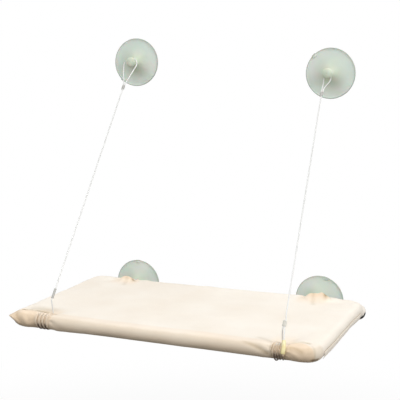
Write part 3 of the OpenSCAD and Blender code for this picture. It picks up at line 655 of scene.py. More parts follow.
# folds in the unrolled cloth: points, depth (minus is a valley), half width
folds = [
    ([(-290, -374), (-280, -365.5), (-262, -363.5), (-240, -364.5), (-224, -368), (-204, -372)], -4.8, 2.6),
    ([(-286, -386), (-270, -381), (-250, -381), (-240, -382)], 2.4, 5.0),
    ([(-288, -346), (-256, -342), (-222, -342)], -2.0, 12.0),
    ([(-293, -374), (-288, -388), (-281, -402), (-270, -414)], -1.2, 2.6),
    ([(-292, -393), (-284, -406), (-272, -419)], 1.8, 5.0),
    ([(-280, -384), (-273, -396), (-262, -408), (-250, -418)], 2.6, 6.0),
    ([(-246, -392), (-256, -404), (-262, -416)], -0.9, 3.0),
    ([(-214, -396), (-196, -404), (-172, -409)], 0.9, 5.0),
    ([(-212, -401), (-198, -411), (-176, -419)], -0.8, 4.0),
    ([(-214, -378), (-196, -364), (-170, -348)], 0.9, 6.0),
    ([(-216, -374), (-206, -352), (-194, -330)], -1.0, 5.0),
    ([(-240, -372), (-248, -350), (-262, -326)], 0.9, 6.0),
    ([(238, -370), (248, -365.5), (262, -360.5), (272, -363), (282, -370)], -4.2, 2.5),
    ([(243, -383), (252, -381), (266, -380), (282, -385)], 2.7, 8.0),
    ([(276, -380), (286, -392), (288, -404)], 1.6, 4.0),
    ([(244, -397), (256, -404), (268, -414), (276, -424)], 1.1, 5.0),
    ([(246, -392), (262, -396), (279, -404)], -1.1, 4.0),
    ([(217, -377), (200, -368), (176, -356)], -1.2, 6.0),
    ([(218, -414), (200, -404), (180, -396), (160, -390)], -1.7, 4.0),
    ([(219, -404), (204, -397), (186, -390)], 0.9, 4.0),
    ([(222, -374), (216, -352), (204, -330)], 0.9, 6.0),
    ([(238, -372), (244, -350), (250, -322)], -0.9, 5.0),
    ([(281, -376), (293, -389), (303, -402), (308, -410)], -1.2, 3.0),
    ([(-236, -60), (-252, -72), (-272, -92)], 1.2, 6.0),
    ([(-240, -50), (-258, -52), (-276, -58)], -1.3, 5.0),
    ([(-190, -62), (-172, -76), (-150, -98)], 1.0, 6.0),
    ([(-212, -68), (-208, -92), (-200, -118)], -1.2, 5.0),
    ([(226, -60), (244, -70), (266, -84)], 1.4, 6.0),
    ([(228, -48), (248, -50), (270, -56)], -1.2, 5.0),
    ([(180, -62), (162, -74), (140, -92)], 1.1, 6.0),
    ([(202, -70), (206, -92), (214, -116)], -1.2, 5.0),
]
middleY = (rig["frontY"] + rig["rearY"]) / 2
halfDepth = (rig["rearY"] - rig["frontY"]) / 2


def loopFrame(x, y):
    # nearest point of the frame's centre line, how far outside it a place lies, and the way out
    bend = cover["cornerBend"]
    a, b = rig["halfWidth"] - bend, halfDepth - bend
    px, py = x, y - middleY
    dx, dy = px - np.clip(px, -a, a), py - np.clip(py, -b, b)
    outside = np.hypot(dx, dy)
    toX, toY = a - np.abs(px), b - np.abs(py)
    inX = toX < toY
    nx = np.where(outside > 1e-6, dx / np.maximum(outside, 1e-6), np.where(inX, np.sign(px), 0))
    ny = np.where(outside > 1e-6, dy / np.maximum(outside, 1e-6), np.where(inX, 0, np.sign(py)))
    away = np.where(outside > 1e-6, outside, -np.minimum(toX, toY)) - bend
    return away, nx, ny


def smoothStep(t):
    t = np.clip(t, 0, 1)
    return t * t * (3 - 2 * t)


def bell(distance, width, power=2):
    return np.exp(-(distance / width) ** power)


def cinchAt(x, y):
    # 1 at a lashing, falling to 0 beside it, for places near the tube that the lashing holds
    total = np.zeros_like(x)
    for place in lashed:
        near = 1 - smoothStep((np.abs(x - place["x"]) - place["half"]) / cover["cinchReach"])
        total = np.maximum(total, near * (1 - smoothStep((np.abs(y - place["y"]) - 16) / 50)))
    return total


def toPillow(co):
    # lays points on the plain pillow: rolled edges round the tubes and two lightly sagging sheets
    x, y, z = co[:, 0], co[:, 1], co[:, 2]
    away, nx, ny = loopFrame(x, y)
    angle = np.arctan2(z - rig["frameZ"], np.maximum(away, 1e-6))
    onRoll = away > 0
    r = cover["rollRadius"]
    step = r * np.cos(angle) - away
    u, v = x / rig["halfWidth"], (y - middleY) / halfDepth
    fall = np.clip(1 - u * u, 0, 1) * np.clip(1 - v * v, 0, 1)
    up = z > rig["frameZ"]
    sheetZ = np.where(up, rig["frameZ"] + r - cover["sag"] * fall, rig["frameZ"] - r - cover["underSag"] * fall)
    out = np.empty_like(co)
    out[:, 0] = np.where(onRoll, x + nx * step, x)
    out[:, 1] = np.where(onRoll, y + ny * step, y)
    out[:, 2] = np.where(onRoll, rig["frameZ"] + r * np.sin(angle), sheetZ)
    return out


def unrolled(co):
    # where each point lies on the cloth once the rolled edge is laid flat, and its normal
    away, nx, ny = loopFrame(co[:, 0], co[:, 1])
    rise = co[:, 2] - rig["frameZ"]
    onRoll = away > 0
    angle = np.arctan2(rise, np.maximum(away, 1e-6))
    arc = np.where(onRoll, cover["rollRadius"] * (math.pi / 2 - angle) - away, 0)
    flat = np.stack([co[:, 0] + nx * arc, co[:, 1] + ny * arc], 1)
    normal = np.stack([np.where(onRoll, nx * np.cos(angle), 0), np.where(onRoll, ny * np.cos(angle), 0),
                       np.where(onRoll, np.sin(angle), np.sign(rise))], 1)
    return flat, normal, onRoll, angle, away


def toLine(flat, line):
    # distance from a run of straight pieces, and how far along it, from 0 to 1
    best = np.full(len(flat), 1e9)
    place = np.zeros(len(flat))
    pieces = len(line) - 1
    for k in range(pieces):
        a, b = np.array(line[k], float), np.array(line[k + 1], float)
        t = np.clip(((flat - a) @ (b - a)) / ((b - a) @ (b - a)), 0, 1)
        d = np.linalg.norm(flat - (a + t[:, None] * (b - a)), axis=1)
        nearer = d < best
        best = np.where(nearer, d, best)
        place = np.where(nearer, (k + t) / pieces, place)
    return best, place


def rollAngle(co, place):
    # angle round the tube that a lashing holds, in degrees from the glass side, upwards
    return np.degrees(np.arctan2(co[:, 2] - rig["frameZ"], co[:, 1] - place["y"])) % 360


def turnGap(place, x, angle):
    # how far along the tube a place lies from the nearest turn of the lashing, at this angle round the tube
    if place["y"] == rig["rearY"]:
        phase = 270 - angle
    else:
        phase = angle - landAngle(right) if place["side"] == right else -angle
    turns = (x - place["start"] - place["pitch"] * phase / 360) / place["pitch"]
    return (turns - np.round(turns)) * place["pitch"]


def clothNoise(co, scale, seed, stretch=(1, 1, 1)):
    points = co / scale * np.array(stretch) + seed
    return np.array([noise.noise(p) for p in points.tolist()])


def lashingBand(co, place):
    # the points that a lashing holds, their angle round the tube, their gap from its turns and how far inside it they are
    x = co[:, 0]
    band = (np.abs(x - place["x"]) < place["half"] + 10) & (np.abs(co[:, 1] - place["y"]) < cover["bandReach"])
    angle = rollAngle(co[band], place)
    gap = turnGap(place, x[band], angle)
    within = 1 - smoothStep((np.abs(x[band] - place["x"]) - place["half"] + 2) / 7)
    return band, angle, gap, within


def coverPoints(co):
    # the finished surface: the pillow with its cinched places, folds, ear and gathered cloth
    flat, normal, onRoll, angle, away = unrolled(co)
    x, y = co[:, 0], co[:, 1]
    topSide = onRoll | (normal[:, 2] > 0)
    # what moves the rolled edge fades out where the lower sheet begins
    seamFree = np.where(onRoll, smoothStep((angle + math.pi / 2) / 0.5), np.where(topSide, 1, smoothStep(-away / 18)))
    rough = 0.75 * clothNoise(co, 85, 3.1) + 0.4 * clothNoise(co, 34, 7.7) + 0.16 * clothNoise(co, 13, 1.3)
    rough += 0.3 * clothNoise(co, 30, 5.2, (1.9, 0.5, 0.5)) * onRoll
    move = rough * drape["uneven"]
    cinch = cinchAt(x, y)
    move -= cinch * (cover["rollRadius"] - cover["cinchRadius"]) * np.exp(-np.maximum(-away, 0) / 20)
    move += drape["behindFront"] * cinch * bell(away + 24, 16) * ~onRoll * (y < middleY)
    # the middle of the front roll is drawn a little tighter, and the rear edge stands higher on the right
    move += drape["frontMiddle"] * bell(x, 140, 4) * onRoll * (y < middleY)
    rearEdge = np.where(onRoll, smoothStep((angle - 0.2) / 0.8), bell(away, 30)) * topSide * (y > rig["rearY"] - 70)
    move += rearEdge * (drape["rearRight"] * bell(x - 210, 75) + drape["rearLeft"] * bell(x + 150, 70))
    for line, depth, half in folds:
        near = np.abs(flat[:, 0] - line[0][0]) < 120
        d, t = toLine(flat[near], line)
        fade = smoothStep(t / 0.18) * smoothStep((1 - t) / 0.3)
        move[near] += depth * bell(d, half) * fade * topSide[near]
    # puckers fan out beside each lashing
    for k, place in enumerate(lashed):
        dx = flat[:, 0] - place["x"]
        dy = flat[:, 1] - place["y"] + (12 if place["y"] == rig["frontY"] else -6)
        reach = np.hypot(np.maximum(np.abs(dx) - place["half"], 0), dy)
        bearing = np.arctan2(dy, dx)
        ripple = np.cos(9 * bearing + 1.7 * k + 2.2 * np.sin(3 * bearing + k))
        move += ripple * smoothStep((np.abs(dx) - place["half"]) / 6) * np.exp(-reach / 18) * drape["pucker"] * topSide
    # held down by the turns, swelling between them
    slide = np.zeros(len(co))
    for place in lashed:
        band, turnAngle, gap, within = lashingBand(co, place)
        half = abs(place["pitch"]) / 2
        between = smoothStep((np.abs(gap) - 1.25) / min(1.5, half - 1.35))
        swell = (place["rise"] * between * smoothStep((turnAngle - 45) / 30)
                 * (0.25 + 0.75 * smoothStep((240 - turnAngle) / 105)))
        held = cover["cinchRadius"] - cover["rollRadius"] + swell
        move[band] = move[band] * (1 - within) + held * within
        # high up the swollen cloth closes in over the turns
        closing = smoothStep((swell - 2.6) / 1.0) * smoothStep((half - np.abs(gap)) / 0.9) * within
        slide[band] -= np.sign(gap) * cover["pinch"] * closing
    # the cloth that the rear lashings push aside stands up in front of them
    crest = np.zeros(len(co))
    for cx, wide, high, beat, crease in gathered:
        height = high * (0.93 + 0.07 * np.cos((x - cx) / beat)) - 2 * bell(x - crease, 2.5)
        crest = np.maximum(crest, height * bell(x - cx, wide, 4))
    move += crest * bell(away + 19, 6) * (y > middleY) * topSide * ~onRoll
    final = co + normal * (move * seamFree)[:, None]
    final[:, 0] += slide
    return clearFrame(pullEar(clearFoot(clearFrame(final))))


feet = [Vector((side * (rig["halfWidth"] + 2), rig["rearY"], rig["frameZ"] - 7)) for side in (-1, 1)]


def clearFoot(co):
    # the cloth is drawn over the rear elbows' round feet
    out = co.copy()
    for foot in feet:
        d = out - np.array(foot)
        distance = np.maximum(np.linalg.norm(d, axis=1), 1e-6)
        out += d * np.maximum(cover["footRadius"] / distance - 1, 0)[:, None]
    return out


def atOpening(point):
    # the lower outer side of a foot, which the cover leaves free
    foot = min(feet, key=lambda place: (point - place).length)
    d = point - foot
    outward, back, down = cover["openingWay"]
    way = Vector((math.copysign(outward, foot.x), back, down))
    return d.length < cover["footRadius"] + 0.8 and d.normalized().dot(way) > cover["openingEdge"]


def clearFrame(co):
    # keeps the cloth outside the tubes and the wider elbows
    away, nx, ny = loopFrame(co[:, 0], co[:, 1])
    rise = co[:, 2] - rig["frameZ"]
    distance = np.maximum(np.hypot(away, rise), 1e-6)
    nearElbow = smoothStep((np.abs(co[:, 0]) - 249) / 5) * smoothStep((np.abs(co[:, 1] - middleY) - 126) / 5)
    least = cover["tubeClear"] + (cover["elbowClear"] - cover["tubeClear"]) * nearElbow
    push = np.maximum(least / distance - 1, 0)
    out = co.copy()
    out[:, 0] += nx * away * push
    out[:, 1] += ny * away * push
    out[:, 2] += rise * push
    return out


def pullEar(co):
    # the sewn corner stands out flat past the front left elbow
    d = co[:, :2] - np.array(ear["centre"])
    reach = np.hypot(d[:, 0], d[:, 1])
    bearing = np.degrees(np.arctan2(-d[:, 1], -d[:, 0])) - ear["bearing"]
    weight = np.where(np.abs(bearing) < ear["spread"], np.cos(np.radians(bearing / ear["spread"] * 90)) ** 2, 0)
    weight = weight * (d[:, 0] < 0) * (d[:, 1] < 0)
    drawn, pressed = (np.clip((reach - start) / over, 0, 1) ** power * weight
                      for start, over, power in (ear["drawn"], ear["pressed"]))
    z = co[:, 2]
    out = co.copy()
    out[:, :2] += np.array(ear["way"]) * (ear["length"] * drawn)[:, None]
    out[:, 2] += (ear["height"] + (z - rig["frameZ"]) * ear["fullness"] - z) * ear["flatness"] * pressed
    return out


def coverMesh():
    # a rounded box, ready to be remeshed
    bm = bmesh.new()
    bmesh.ops.create_cube(bm, size=1)
    r = cover["rollRadius"]
    bmesh.ops.scale(bm, vec=(2 * (rig["halfWidth"] + r), 2 * (halfDepth + r), 2 * r), verts=bm.verts)
    bmesh.ops.translate(bm, vec=(0, middleY, rig["frameZ"]), verts=bm.verts)
    upright = [e for e in bm.edges if abs(e.verts[0].co.z - e.verts[1].co.z) > 1]
    bmesh.ops.bevel(bm, geom=upright, offset=cover["cornerBevel"], segments=6, profile=0.5, affect="EDGES", material=-1)
    rims = [e for e in bm.edges if abs(e.verts[0].co.z - e.verts[1].co.z) < 0.01 and len(e.link_faces) == 2
            and abs(e.link_faces[0].normal.z - e.link_faces[1].normal.z) > 0.5]
    bmesh.ops.bevel(bm, geom=rims, offset=cover["rimBevel"], segments=4, profile=0.5, affect="EDGES", material=-1)
    mesh = bpy.data.meshes.new("canvas_cover")
    bm.to_mesh(mesh)
    bm.free()
    piece = bpy.data.objects.new("canvas_cover", mesh)
    bpy.context.scene.collection.objects.link(piece)
    remesh = piece.modifiers.new("remesh", "REMESH")
    remesh.mode, remesh.voxel_size = "VOXEL", cover["voxel"]
    return piece


def applied(piece):
    # the mesh that a piece's modifiers give, as its own mesh without them
    mesh = bpy.data.meshes.new_from_object(piece.evaluated_get(bpy.context.evaluated_depsgraph_get()))
    piece.modifiers.clear()
    old = piece.data
    piece.data = mesh
    bpy.data.meshes.remove(old)
    return mesh


def readPoints(mesh):
    co = np.empty(len(mesh.vertices) * 3)
    mesh.vertices.foreach_get("co", co)
    return co.reshape(-1, 3)


def writePoints(mesh, co):
    mesh.vertices.foreach_set("co", co.astype(np.float32).ravel())
    mesh.update()


def nearLashing(mid):
    return any(abs(mid.x - p["x"]) < p["half"] + 10 and abs(mid.y - p["y"]) < (23 if mid.z > 0 else 10) for p in lashed)


def nearCrease(mid):
    return mid.z > rig["frameZ"] - 5 and mid.y < -356 and (mid.x < -205 or mid.x > 240)


def nearTurns(mid, places):
    return any(abs(mid.x - p["x"]) < p["half"] + 2 and -17 < mid.y - p["y"] < 8 for p in places)


def refine(mesh):
    # smaller faces round the lashings and the front corners, and the smallest under the front turns
    bm = bmesh.new()
    bm.from_mesh(mesh)
    for chosen in (lambda mid: nearLashing(mid) or nearCrease(mid), lambda mid: nearTurns(mid, lashed[:2]),
                   lambda mid: nearTurns(mid, lashed[1:2]) and mid.z > 4 and mid.y < rig["frontY"] + 3):
        edges = [e for e in bm.edges if chosen((e.verts[0].co + e.verts[1].co) / 2)]
        bmesh.ops.subdivide_edges(bm, edges=edges, cuts=1, use_grid_fill=True)
    bm.to_mesh(mesh)
    bm.free()


def relaxAndOpen(mesh):
    # softens the folds, and leaves the rear feet free
    bm = bmesh.new()
    bm.from_mesh(mesh)
    bmesh.ops.smooth_vert(bm, verts=bm.verts, factor=0.3, use_axis_x=True, use_axis_y=True, use_axis_z=True)
    bmesh.ops.delete(bm, geom=[f for f in bm.faces if atOpening(f.calc_center_median())], context="FACES")
    edge = [v for v in bm.verts if v.is_boundary]
    bmesh.ops.smooth_vert(bm, verts=edge, factor=0.5, use_axis_x=True, use_axis_y=True, use_axis_z=True)
    bmesh.ops.recalc_face_normals(bm, faces=bm.faces)
    bm.to_mesh(mesh)
    bm.free()


def layFlat(mesh, co):
    # coordinates for the weave: the cloth laid flat, with the lower sheet as its own chart
    flat, normal, onRoll, angle, away = unrolled(co)
    corners = np.empty(len(mesh.loops), int)
    mesh.loops.foreach_get("vertex_index", corners)
    sizes = np.empty(len(mesh.polygons), int)
    mesh.polygons.foreach_get("loop_total", sizes)
    owner = np.repeat(np.arange(len(sizes)), sizes)

    def faceMean(values):
        return np.bincount(owner, weights=values[corners], minlength=len(sizes)) / sizes

    below = faceMean(co[:, 2]) < rig["frameZ"]
    useFlat = (~below | (faceMean(onRoll.astype(float)) > 0.99))[owner]
    uv = np.where(useFlat[:, None], flat[corners], co[corners, :2]) * mm
    mesh.uv_layers.new(name="UVMap").data.foreach_set("uv", uv.astype(np.float32).ravel())


# how much painted warm shade and painted dark shade each place gets, from 0 to 1
warmShadeStrength = {"roll": 0.16, "under": 0.12, "ends": 0.24, "lashed": 0.25, "gathered": 0.6, "lapped": 0.85}
darkShadeStrength = {"roll": 0.18, "lowest": 0.4, "corner": 0.7, "hollow": 0.3, "hem": 0.08, "gathered": 0.75, "fold": 0.16, "turns": 0.5}


def clothPaintedShade(co):
    x, y = co[:, 0], co[:, 1]
    flat, normal, onRoll, angle, away = unrolled(co)
    topSide = onRoll | (normal[:, 2] > 0)
    front, rearTop = y < middleY, (y > middleY) & topSide
    # painted warm shade on the front roll and its ends, more on the roll's lower side
    roll = front * (warmShadeStrength["roll"] * smoothStep((-366 - y) / 10) + warmShadeStrength["under"] * onRoll * smoothStep((0.4 - angle) / 0.8))
    ends = warmShadeStrength["ends"] * front * smoothStep((np.abs(x) - 234) / 18) * smoothStep((-361 - y) / np.where(topSide, 6, 24))
    # at the front right corner the paler side cloth laps over, without the painted warm shade, above a dark crescent of
    # painted shade where it is tucked under
    lapped = smoothStep((0.65 * x + 0.76 * y + 111) / 6)
    # painted warm shade where the lashings cinch the cloth and on the gathered cloth
    warmShade = np.maximum(warmShadeStrength["lashed"] * cinchAt(x, y) ** 1.3, (roll + ends) * (1 - warmShadeStrength["lapped"] * lapped))
    for cx, wide, high, beat, crease in gathered:
        warmShade = np.maximum(warmShade, warmShadeStrength["gathered"] * bell(x - cx, wide, 4) * bell(away + 17, 8) * rearTop)
    # painted shade darkening the front roll towards its bottom, most in a line near the bottom
    low = darkShadeStrength["roll"] * smoothStep((1.4 - angle) / 0.5) + darkShadeStrength["lowest"] * bell(angle + 1.22, 0.2)
    shade = onRoll * smoothStep((-358 - y) / 14) * low
    # painted shade in a crescent under the front right corner and along its underside
    bearing = np.degrees(np.arctan2(middleY - halfDepth + cover["cornerBend"] - y, x - rig["halfWidth"] + cover["cornerBend"]))
    tucked = bell(angle + 0.55, 0.24) * smoothStep((bearing - 16) / 14) * smoothStep((68 - bearing) / 20)
    under = bell(angle + 1.35, 0.3) * smoothStep((x - 246) / 12) * smoothStep((bearing - 30) / 20)
    shade = np.maximum(shade, (x > 0) * front * onRoll * np.maximum(tucked, darkShadeStrength["corner"] * under))
    # painted shade on the deck behind the front left roll
    shade = np.maximum(shade, darkShadeStrength["hollow"] * topSide * bell(x + 252, 30, 4) * bell(y + 350, 15))
    # a soft band of painted shade above the side hems
    sideRoll = onRoll * (np.abs(x) > rig["halfWidth"]) * smoothStep((y + 372) / 14) * smoothStep((-80 - y) / 14)
    shade = np.maximum(shade, darkShadeStrength["hem"] * sideRoll * bell(co[:, 2] - 11.5, 3.2))
    # painted shade in the creases beside the gathered cloth
    for crease in sorted({place[4] for place in gathered}):
        shade += darkShadeStrength["gathered"] * bell(x - crease, 4) * bell(away + 19, 4.5) * rearTop
    # painted shade along the fold valleys
    for line, depth, half in folds:
        if depth < -1 and half < 8:
            d, t = toLine(flat, line)
            width = half * (1.0 if depth < -4 else 0.8)
            fade = smoothStep(t / 0.12) * smoothStep((1 - t) / 0.2) * topSide
            shade += min(0.85, darkShadeStrength["fold"] * -depth) * bell(d, width) * fade
    # painted shade between the turns on the tube's far side
    for place in lashed:
        band, turnAngle, gap, within = lashingBand(co, place)
        behind = smoothStep((turnAngle - 165) / 40) * smoothStep((cover["bandReach"] - np.abs(y[band] - place["y"])) / 4)
        shade[band] += darkShadeStrength["turns"] * behind * within * (1 - smoothStep((np.abs(gap) - 0.9) / 1.1))
    return np.clip(warmShade, 0, 1), np.clip(shade, 0, 1)


canvas = coverMesh()
mesh = applied(canvas)
writePoints(mesh, toPillow(readPoints(mesh)))
print("cover blank has", len(mesh.polygons), "faces")
finer = canvas.modifiers.new("finer", "SUBSURF")
finer.levels = finer.render_levels = 1
mesh = applied(canvas)
writePoints(mesh, toPillow(readPoints(mesh)))
refine(mesh)
writePoints(mesh, coverPoints(toPillow(readPoints(mesh))))
relaxAndOpen(mesh)
wall = canvas.modifiers.new("wall", "SOLIDIFY")
wall.thickness, wall.offset = cover["thickness"], -1
mesh = applied(canvas)
mesh.name = "canvas_cover"
co = readPoints(mesh)
print("cover has", sum(len(p.vertices) - 2 for p in mesh.polygons), "triangles")
layFlat(mesh, co)
for name, values in zip(("warmShade", "shade"), clothPaintedShade(co)):
    mesh.attributes.new(name, "FLOAT", "POINT").data.foreach_set("value", values.astype(np.float32))
writePoints(mesh, co * mm)
mesh.shade_smooth()

# natural cotton canvas, plain woven and unbleached: cream, matt with a soft nap, with painted warm shade and painted
# dark shade where it is lashed, creased, gathered and under its rolls
creamCanvas, shader = startMaterial("creamCottonCanvas", Base_Color=linear("f1e6d4"), Roughness=0.9, Sheen_Weight=0.15,
                                    Sheen_Roughness=0.5, Specular_IOR_Level=0.2)
place = addNode(creamCanvas, "ShaderNodeUVMap", {"uv_map": "UVMap"})
parts = addNode(creamCanvas, "ShaderNodeSeparateXYZ", inputs={0: place.outputs[0]})
threads = []
for axis in ("X", "Y"):  # threads lie 0.6 mm apart; drawn at 1.2 mm so that they show
    scaled = addNode(creamCanvas, "ShaderNodeMath", {"operation": "MULTIPLY"},
                     {0: parts.outputs[axis], 1: 2 * math.pi / 0.0024})
    threads.append(addNode(creamCanvas, "ShaderNodeMath", {"operation": "SINE"}, {0: scaled.outputs[0]}).outputs[0])
crossing = addNode(creamCanvas, "ShaderNodeMath", {"operation": "MULTIPLY"},
                   {0: threads[0], 1: threads[1]}).outputs[0]
place = addNode(creamCanvas, "ShaderNodeTexCoord")
slub = addNode(creamCanvas, "ShaderNodeTexNoise", inputs={"Vector": place.outputs["Object"], "Scale": 420, "Detail": 3})
weave = addNode(creamCanvas, "ShaderNodeMath", {"operation": "MULTIPLY_ADD"},
                {0: crossing, 1: 0.5, 2: slub.outputs[0]}).outputs[0]
patches = addNode(creamCanvas, "ShaderNodeTexNoise", inputs={"Vector": place.outputs["Object"], "Scale": 9, "Detail": 4})
cream = addNode(creamCanvas, "ShaderNodeValToRGB", inputs={0: patches.outputs[0]}, stops=[(0.3, "f1e7d9"), (0.7, "f7f0e5")])
layers = []
for key, some, full in (("warmShade", "f9ecdd", "e5ceb0"), ("shade", "dcd6ca", "83725d")):  # painted warm shade, and painted darker shade
    worn = addNode(creamCanvas, "ShaderNodeAttribute", {"attribute_name": key})
    stops = [(0.0, "ffffff"), (0.4, some), (1.0, full)]
    layers.append(addNode(creamCanvas, "ShaderNodeValToRGB", inputs={0: worn.outputs["Fac"]}, stops=stops))
layers.append(addNode(creamCanvas, "ShaderNodeMapRange", inputs={0: weave, 1: -0.2, 2: 1.2, 3: 0.95, 4: 1.03}))  # flecks
colour = cream.outputs[0]
for layer in layers:
    both = {0: 1.0, 6: colour, 7: layer.outputs[0]}
    colour = addNode(creamCanvas, "ShaderNodeMix", {"data_type": "RGBA", "blend_type": "MULTIPLY"}, both).outputs[2]
relief = addNode(creamCanvas, "ShaderNodeBump", inputs={"Strength": 0.35, "Distance": 0.0005, "Height": weave})
linkTo(creamCanvas, shader, colour, None, relief.outputs[0])
mesh.materials.clear()
mesh.materials.append(creamCanvas)
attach(canvas, "platform")
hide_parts("cover")
print("cover made")


# the side hems, where the top and lower cloths are felled together, and their stitches

hem = {
    "from": -364.0, "to": -92.0, "high": 9.4, "low": -1.2, "lift": 0.6, "flare": 1.8, "thickness": 0.6,
    "stitch": 3.6, "stitchIn": 2.0, "stitchLength": 2.7, "thread": 0.38,
}


def onSide(side, y, z):
    # points of the plain pillow's side roll at these heights, and the way out from the tube's axis there
    angle = np.arcsin((z - rig["frameZ"]) / cover["rollRadius"])
    reach = rig["halfWidth"] + cover["rollRadius"] * np.cos(angle)
    points = np.stack([side * reach, y, rig["frameZ"] + cover["rollRadius"] * np.sin(angle)], 1)
    axis = np.stack([np.full(len(y), side * rig["halfWidth"]), y, np.full(len(y), rig["frameZ"])], 1)
    return points, (points - axis) / cover["rollRadius"]


def makeHem(name, side):
    bm = bmesh.new()
    shade = bm.verts.layers.float.new("shade")
    bmesh.ops.create_grid(bm, x_segments=150, y_segments=8, size=0.5)
    verts = list(bm.verts)
    spot = np.array([v.co[:] for v in verts]) + 0.5
    along, across = spot[:, 0], spot[:, 1]
    y = hem["from"] + (hem["to"] - hem["from"]) * along
    base, out = onSide(side, y, hem["low"] + (hem["high"] - hem["low"]) * across)
    rise = (hem["lift"] + hem["flare"] * (1 - across)) * smoothStep((1 - across) / 0.12) - 0.25
    for v, place, share in zip(verts, coverPoints(base) + out * rise[:, None], across):
        v.co = place
        # painted shade along both edges of the hem
        v[shade] = 0.8 * (1 - ease((1 - share) / 0.09)) + 0.9 * (1 - ease(share / 0.09))
    uv = bm.loops.layers.uv.new("UVMap")
    for face in bm.faces:
        for loop in face.loops:
            loop[uv].uv = (loop.vert.co.y * mm, loop.vert.co.z * mm)
    bmesh.ops.recalc_face_normals(bm, faces=bm.faces)
    piece = finishPiece(name, bm, creamCanvas, "platform")
    wall = piece.modifiers.new("wall", "SOLIDIFY")
    wall.thickness, wall.offset = hem["thickness"] * mm, 0
    applied(piece)


def makeStitches(name, side):
    # two rows of waxed thread, each stitch a short grain lying along the hem
    count = round((hem["to"] - hem["from"]) / hem["stitch"])
    bm = bmesh.new()
    for height in (hem["high"] - hem["stitchIn"], hem["low"] + hem["stitchIn"]):
        y = hem["from"] + (np.arange(count) + 0.5) * hem["stitch"]
        base, out = onSide(side, y, np.full(count, height))
        share = (height - hem["low"]) / (hem["high"] - hem["low"])
        for place in coverPoints(base) + out * (hem["lift"] + hem["flare"] * (1 - share) + 0.1):
            grain = bmesh.ops.create_uvsphere(bm, u_segments=6, v_segments=4, radius=1)["verts"]
            bmesh.ops.scale(bm, vec=(hem["thread"], hem["thread"], hem["stitchLength"] / 2), verts=grain)
            bmesh.ops.rotate(bm, cent=(0, 0, 0), matrix=Matrix.Rotation(math.pi / 2, 3, "X"), verts=grain)
            bmesh.ops.translate(bm, vec=place, verts=grain)
    finishPiece(name, bm, waxedThread, "platform")


# waxed cotton thread: a shade darker than the cloth, with a low sheen
waxedThread = grainyMaterial("waxedCottonThread", 2500, 2, [(0.3, "d6c2a2"), (0.7, "ecdcc4")], Base_Color=linear("e2d0b4"),
                             Roughness=0.6, Sheen_Weight=0.2)
for side, word in ((-1, "left"), (1, "right")):
    makeHem(f"{word}_hem", side)
    makeStitches(f"{word}_hem_stitches", side)
print("hems made")


# materials of the frame's own nodes

# white PVC pipe: smooth, a little waxy and faintly clouded
pipeVinyl = grainyMaterial("whitePipeVinyl", 60, 3, [(0.3, "e6e5df"), (0.7, "f0efeb")], (0.3, 0.46),
                           Base_Color=linear("ecebe6"), Roughness=0.38)
# moulded black ABS: matt, with a fine spark-eroded grain and dust-grey high spots
blackMoulding = grainyMaterial("blackMouldedPlastic", 1400, 2, [(0.35, "080807"), (0.7, "11100f")], (0.56, 0.76), (0.2, 0.0001),
                               Base_Color=linear("0c0b0a"), Roughness=0.65, Specular_IOR_Level=0.12)

for name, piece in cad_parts.items():
    if name.endswith("_tube") or name.endswith("_elbow"):
        for slotHeld in piece.material_slots:
            slotHeld.material = pipeVinyl if name.endswith("_tube") else blackMoulding


# floor, world and lamps

studio = {
    "floorZ": -0.75, "floorSize": 30, "shadowShare": 0.14, "shadowReach": 1.3, "skyLevel": 0.56, "groundLevel": 0.15,
    "target": (0, -0.22, 0.15), "lamps": [  # name, place, diameter and power
        ("keyLamp", (-1.1, -2.1, 2.1), 1.6, 30), ("fillLamp", (2.3, -0.9, 1.4), 1.8, 36), ("topLamp", (0.1, 0.2, 2.5), 1.6, 8),
    ],
}


def seenWhite(owner):
    # 1 for what the camera sees, straight, in a gloss or through something clear
    path = addNode(owner, "ShaderNodeLightPath")
    seen = path.outputs["Is Camera Ray"]
    for ray in ("Is Glossy Ray", "Is Transmission Ray"):
        seen = addNode(owner, "ShaderNodeMath", {"operation": "MAXIMUM"}, {0: seen, 1: path.outputs[ray]}).outputs[0]
    return seen


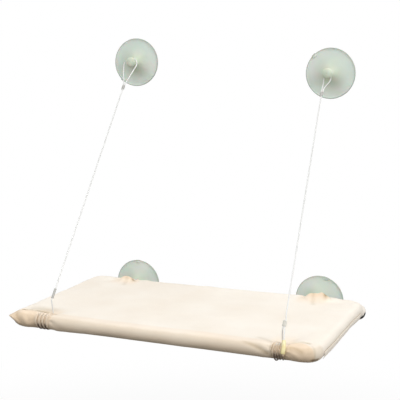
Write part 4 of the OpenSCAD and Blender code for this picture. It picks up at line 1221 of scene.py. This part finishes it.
def makeFloor():
    bm = bmesh.new()
    bmesh.ops.create_grid(bm, x_segments=2, y_segments=2, size=studio["floorSize"] / 2)
    mesh = bpy.data.meshes.new("studioFloor")
    bmesh.ops.translate(bm, vec=(0, 0, studio["floorZ"]), verts=bm.verts)
    bm.to_mesh(mesh)
    bm.free()
    floor = bpy.data.objects.new("studioFloor", mesh)
    bpy.context.scene.collection.objects.link(floor)
    # matt painted floor: white to the camera, and still a little darker where the perch shades it
    paint = bpy.data.materials.new("whiteStudioPaint")
    paint.use_nodes = True
    paint.node_tree.nodes.clear()
    seen = seenWhite(paint)
    place = addNode(paint, "ShaderNodeTexCoord")
    away = addNode(paint, "ShaderNodeVectorMath", {"operation": "LENGTH"}, {0: place.outputs["Object"]})
    fade = addNode(paint, "ShaderNodeMapRange", {"interpolation_type": "SMOOTHSTEP"},
                   {0: away.outputs["Value"], 1: 0.8, 2: 0.8 + studio["shadowReach"], 3: 1 - studio["shadowShare"], 4: 1.0})
    share = addNode(paint, "ShaderNodeMath", {"operation": "MULTIPLY"}, {0: seen, 1: fade.outputs[0]})
    matt = addNode(paint, "ShaderNodeBsdfDiffuse", inputs={"Color": linear("8a8986")})
    white = addNode(paint, "ShaderNodeEmission", inputs={"Color": (1, 1, 1, 1), "Strength": 1.0})
    mixed = addNode(paint, "ShaderNodeMixShader", inputs={0: share.outputs[0], 1: matt.outputs[0], 2: white.outputs[0]})
    addNode(paint, "ShaderNodeOutputMaterial", inputs={"Surface": mixed.outputs[0]})
    mesh.materials.append(paint)


def makeWorld():
    # white where it is seen; its own light comes mostly from above
    world = bpy.data.worlds.new("studioWorld")
    world.use_nodes = True
    world.node_tree.nodes.clear()
    seen = seenWhite(world)
    place = addNode(world, "ShaderNodeTexCoord")
    parts = addNode(world, "ShaderNodeSeparateXYZ", inputs={0: place.outputs["Generated"]})
    dome = addNode(world, "ShaderNodeMapRange",
                   inputs={0: parts.outputs["Z"], 1: -0.15, 2: 0.25, 3: studio["groundLevel"], 4: studio["skyLevel"]})
    level = addNode(world, "ShaderNodeMapRange", inputs={0: seen, 3: dome.outputs[0], 4: 1.0})
    sky = addNode(world, "ShaderNodeBackground", inputs={"Color": (1, 1, 1, 1), "Strength": level.outputs[0]})
    addNode(world, "ShaderNodeOutputWorld", inputs={"Surface": sky.outputs[0]})
    bpy.context.scene.world = world


def makeLamps():
    for name, place, size, power in studio["lamps"]:
        data = bpy.data.lights.new(name, "AREA")
        data.shape, data.size, data.energy = "DISK", size, power
        lamp = bpy.data.objects.new(name, data)
        lamp.location = place
        lamp.rotation_euler = (Vector(studio["target"]) - Vector(place)).to_track_quat("-Z", "Y").to_euler()
        bpy.context.scene.collection.objects.link(lamp)


makeFloor()
makeWorld()
makeLamps()
bpy.context.scene.view_settings.view_transform = "Standard"
print("studio made")
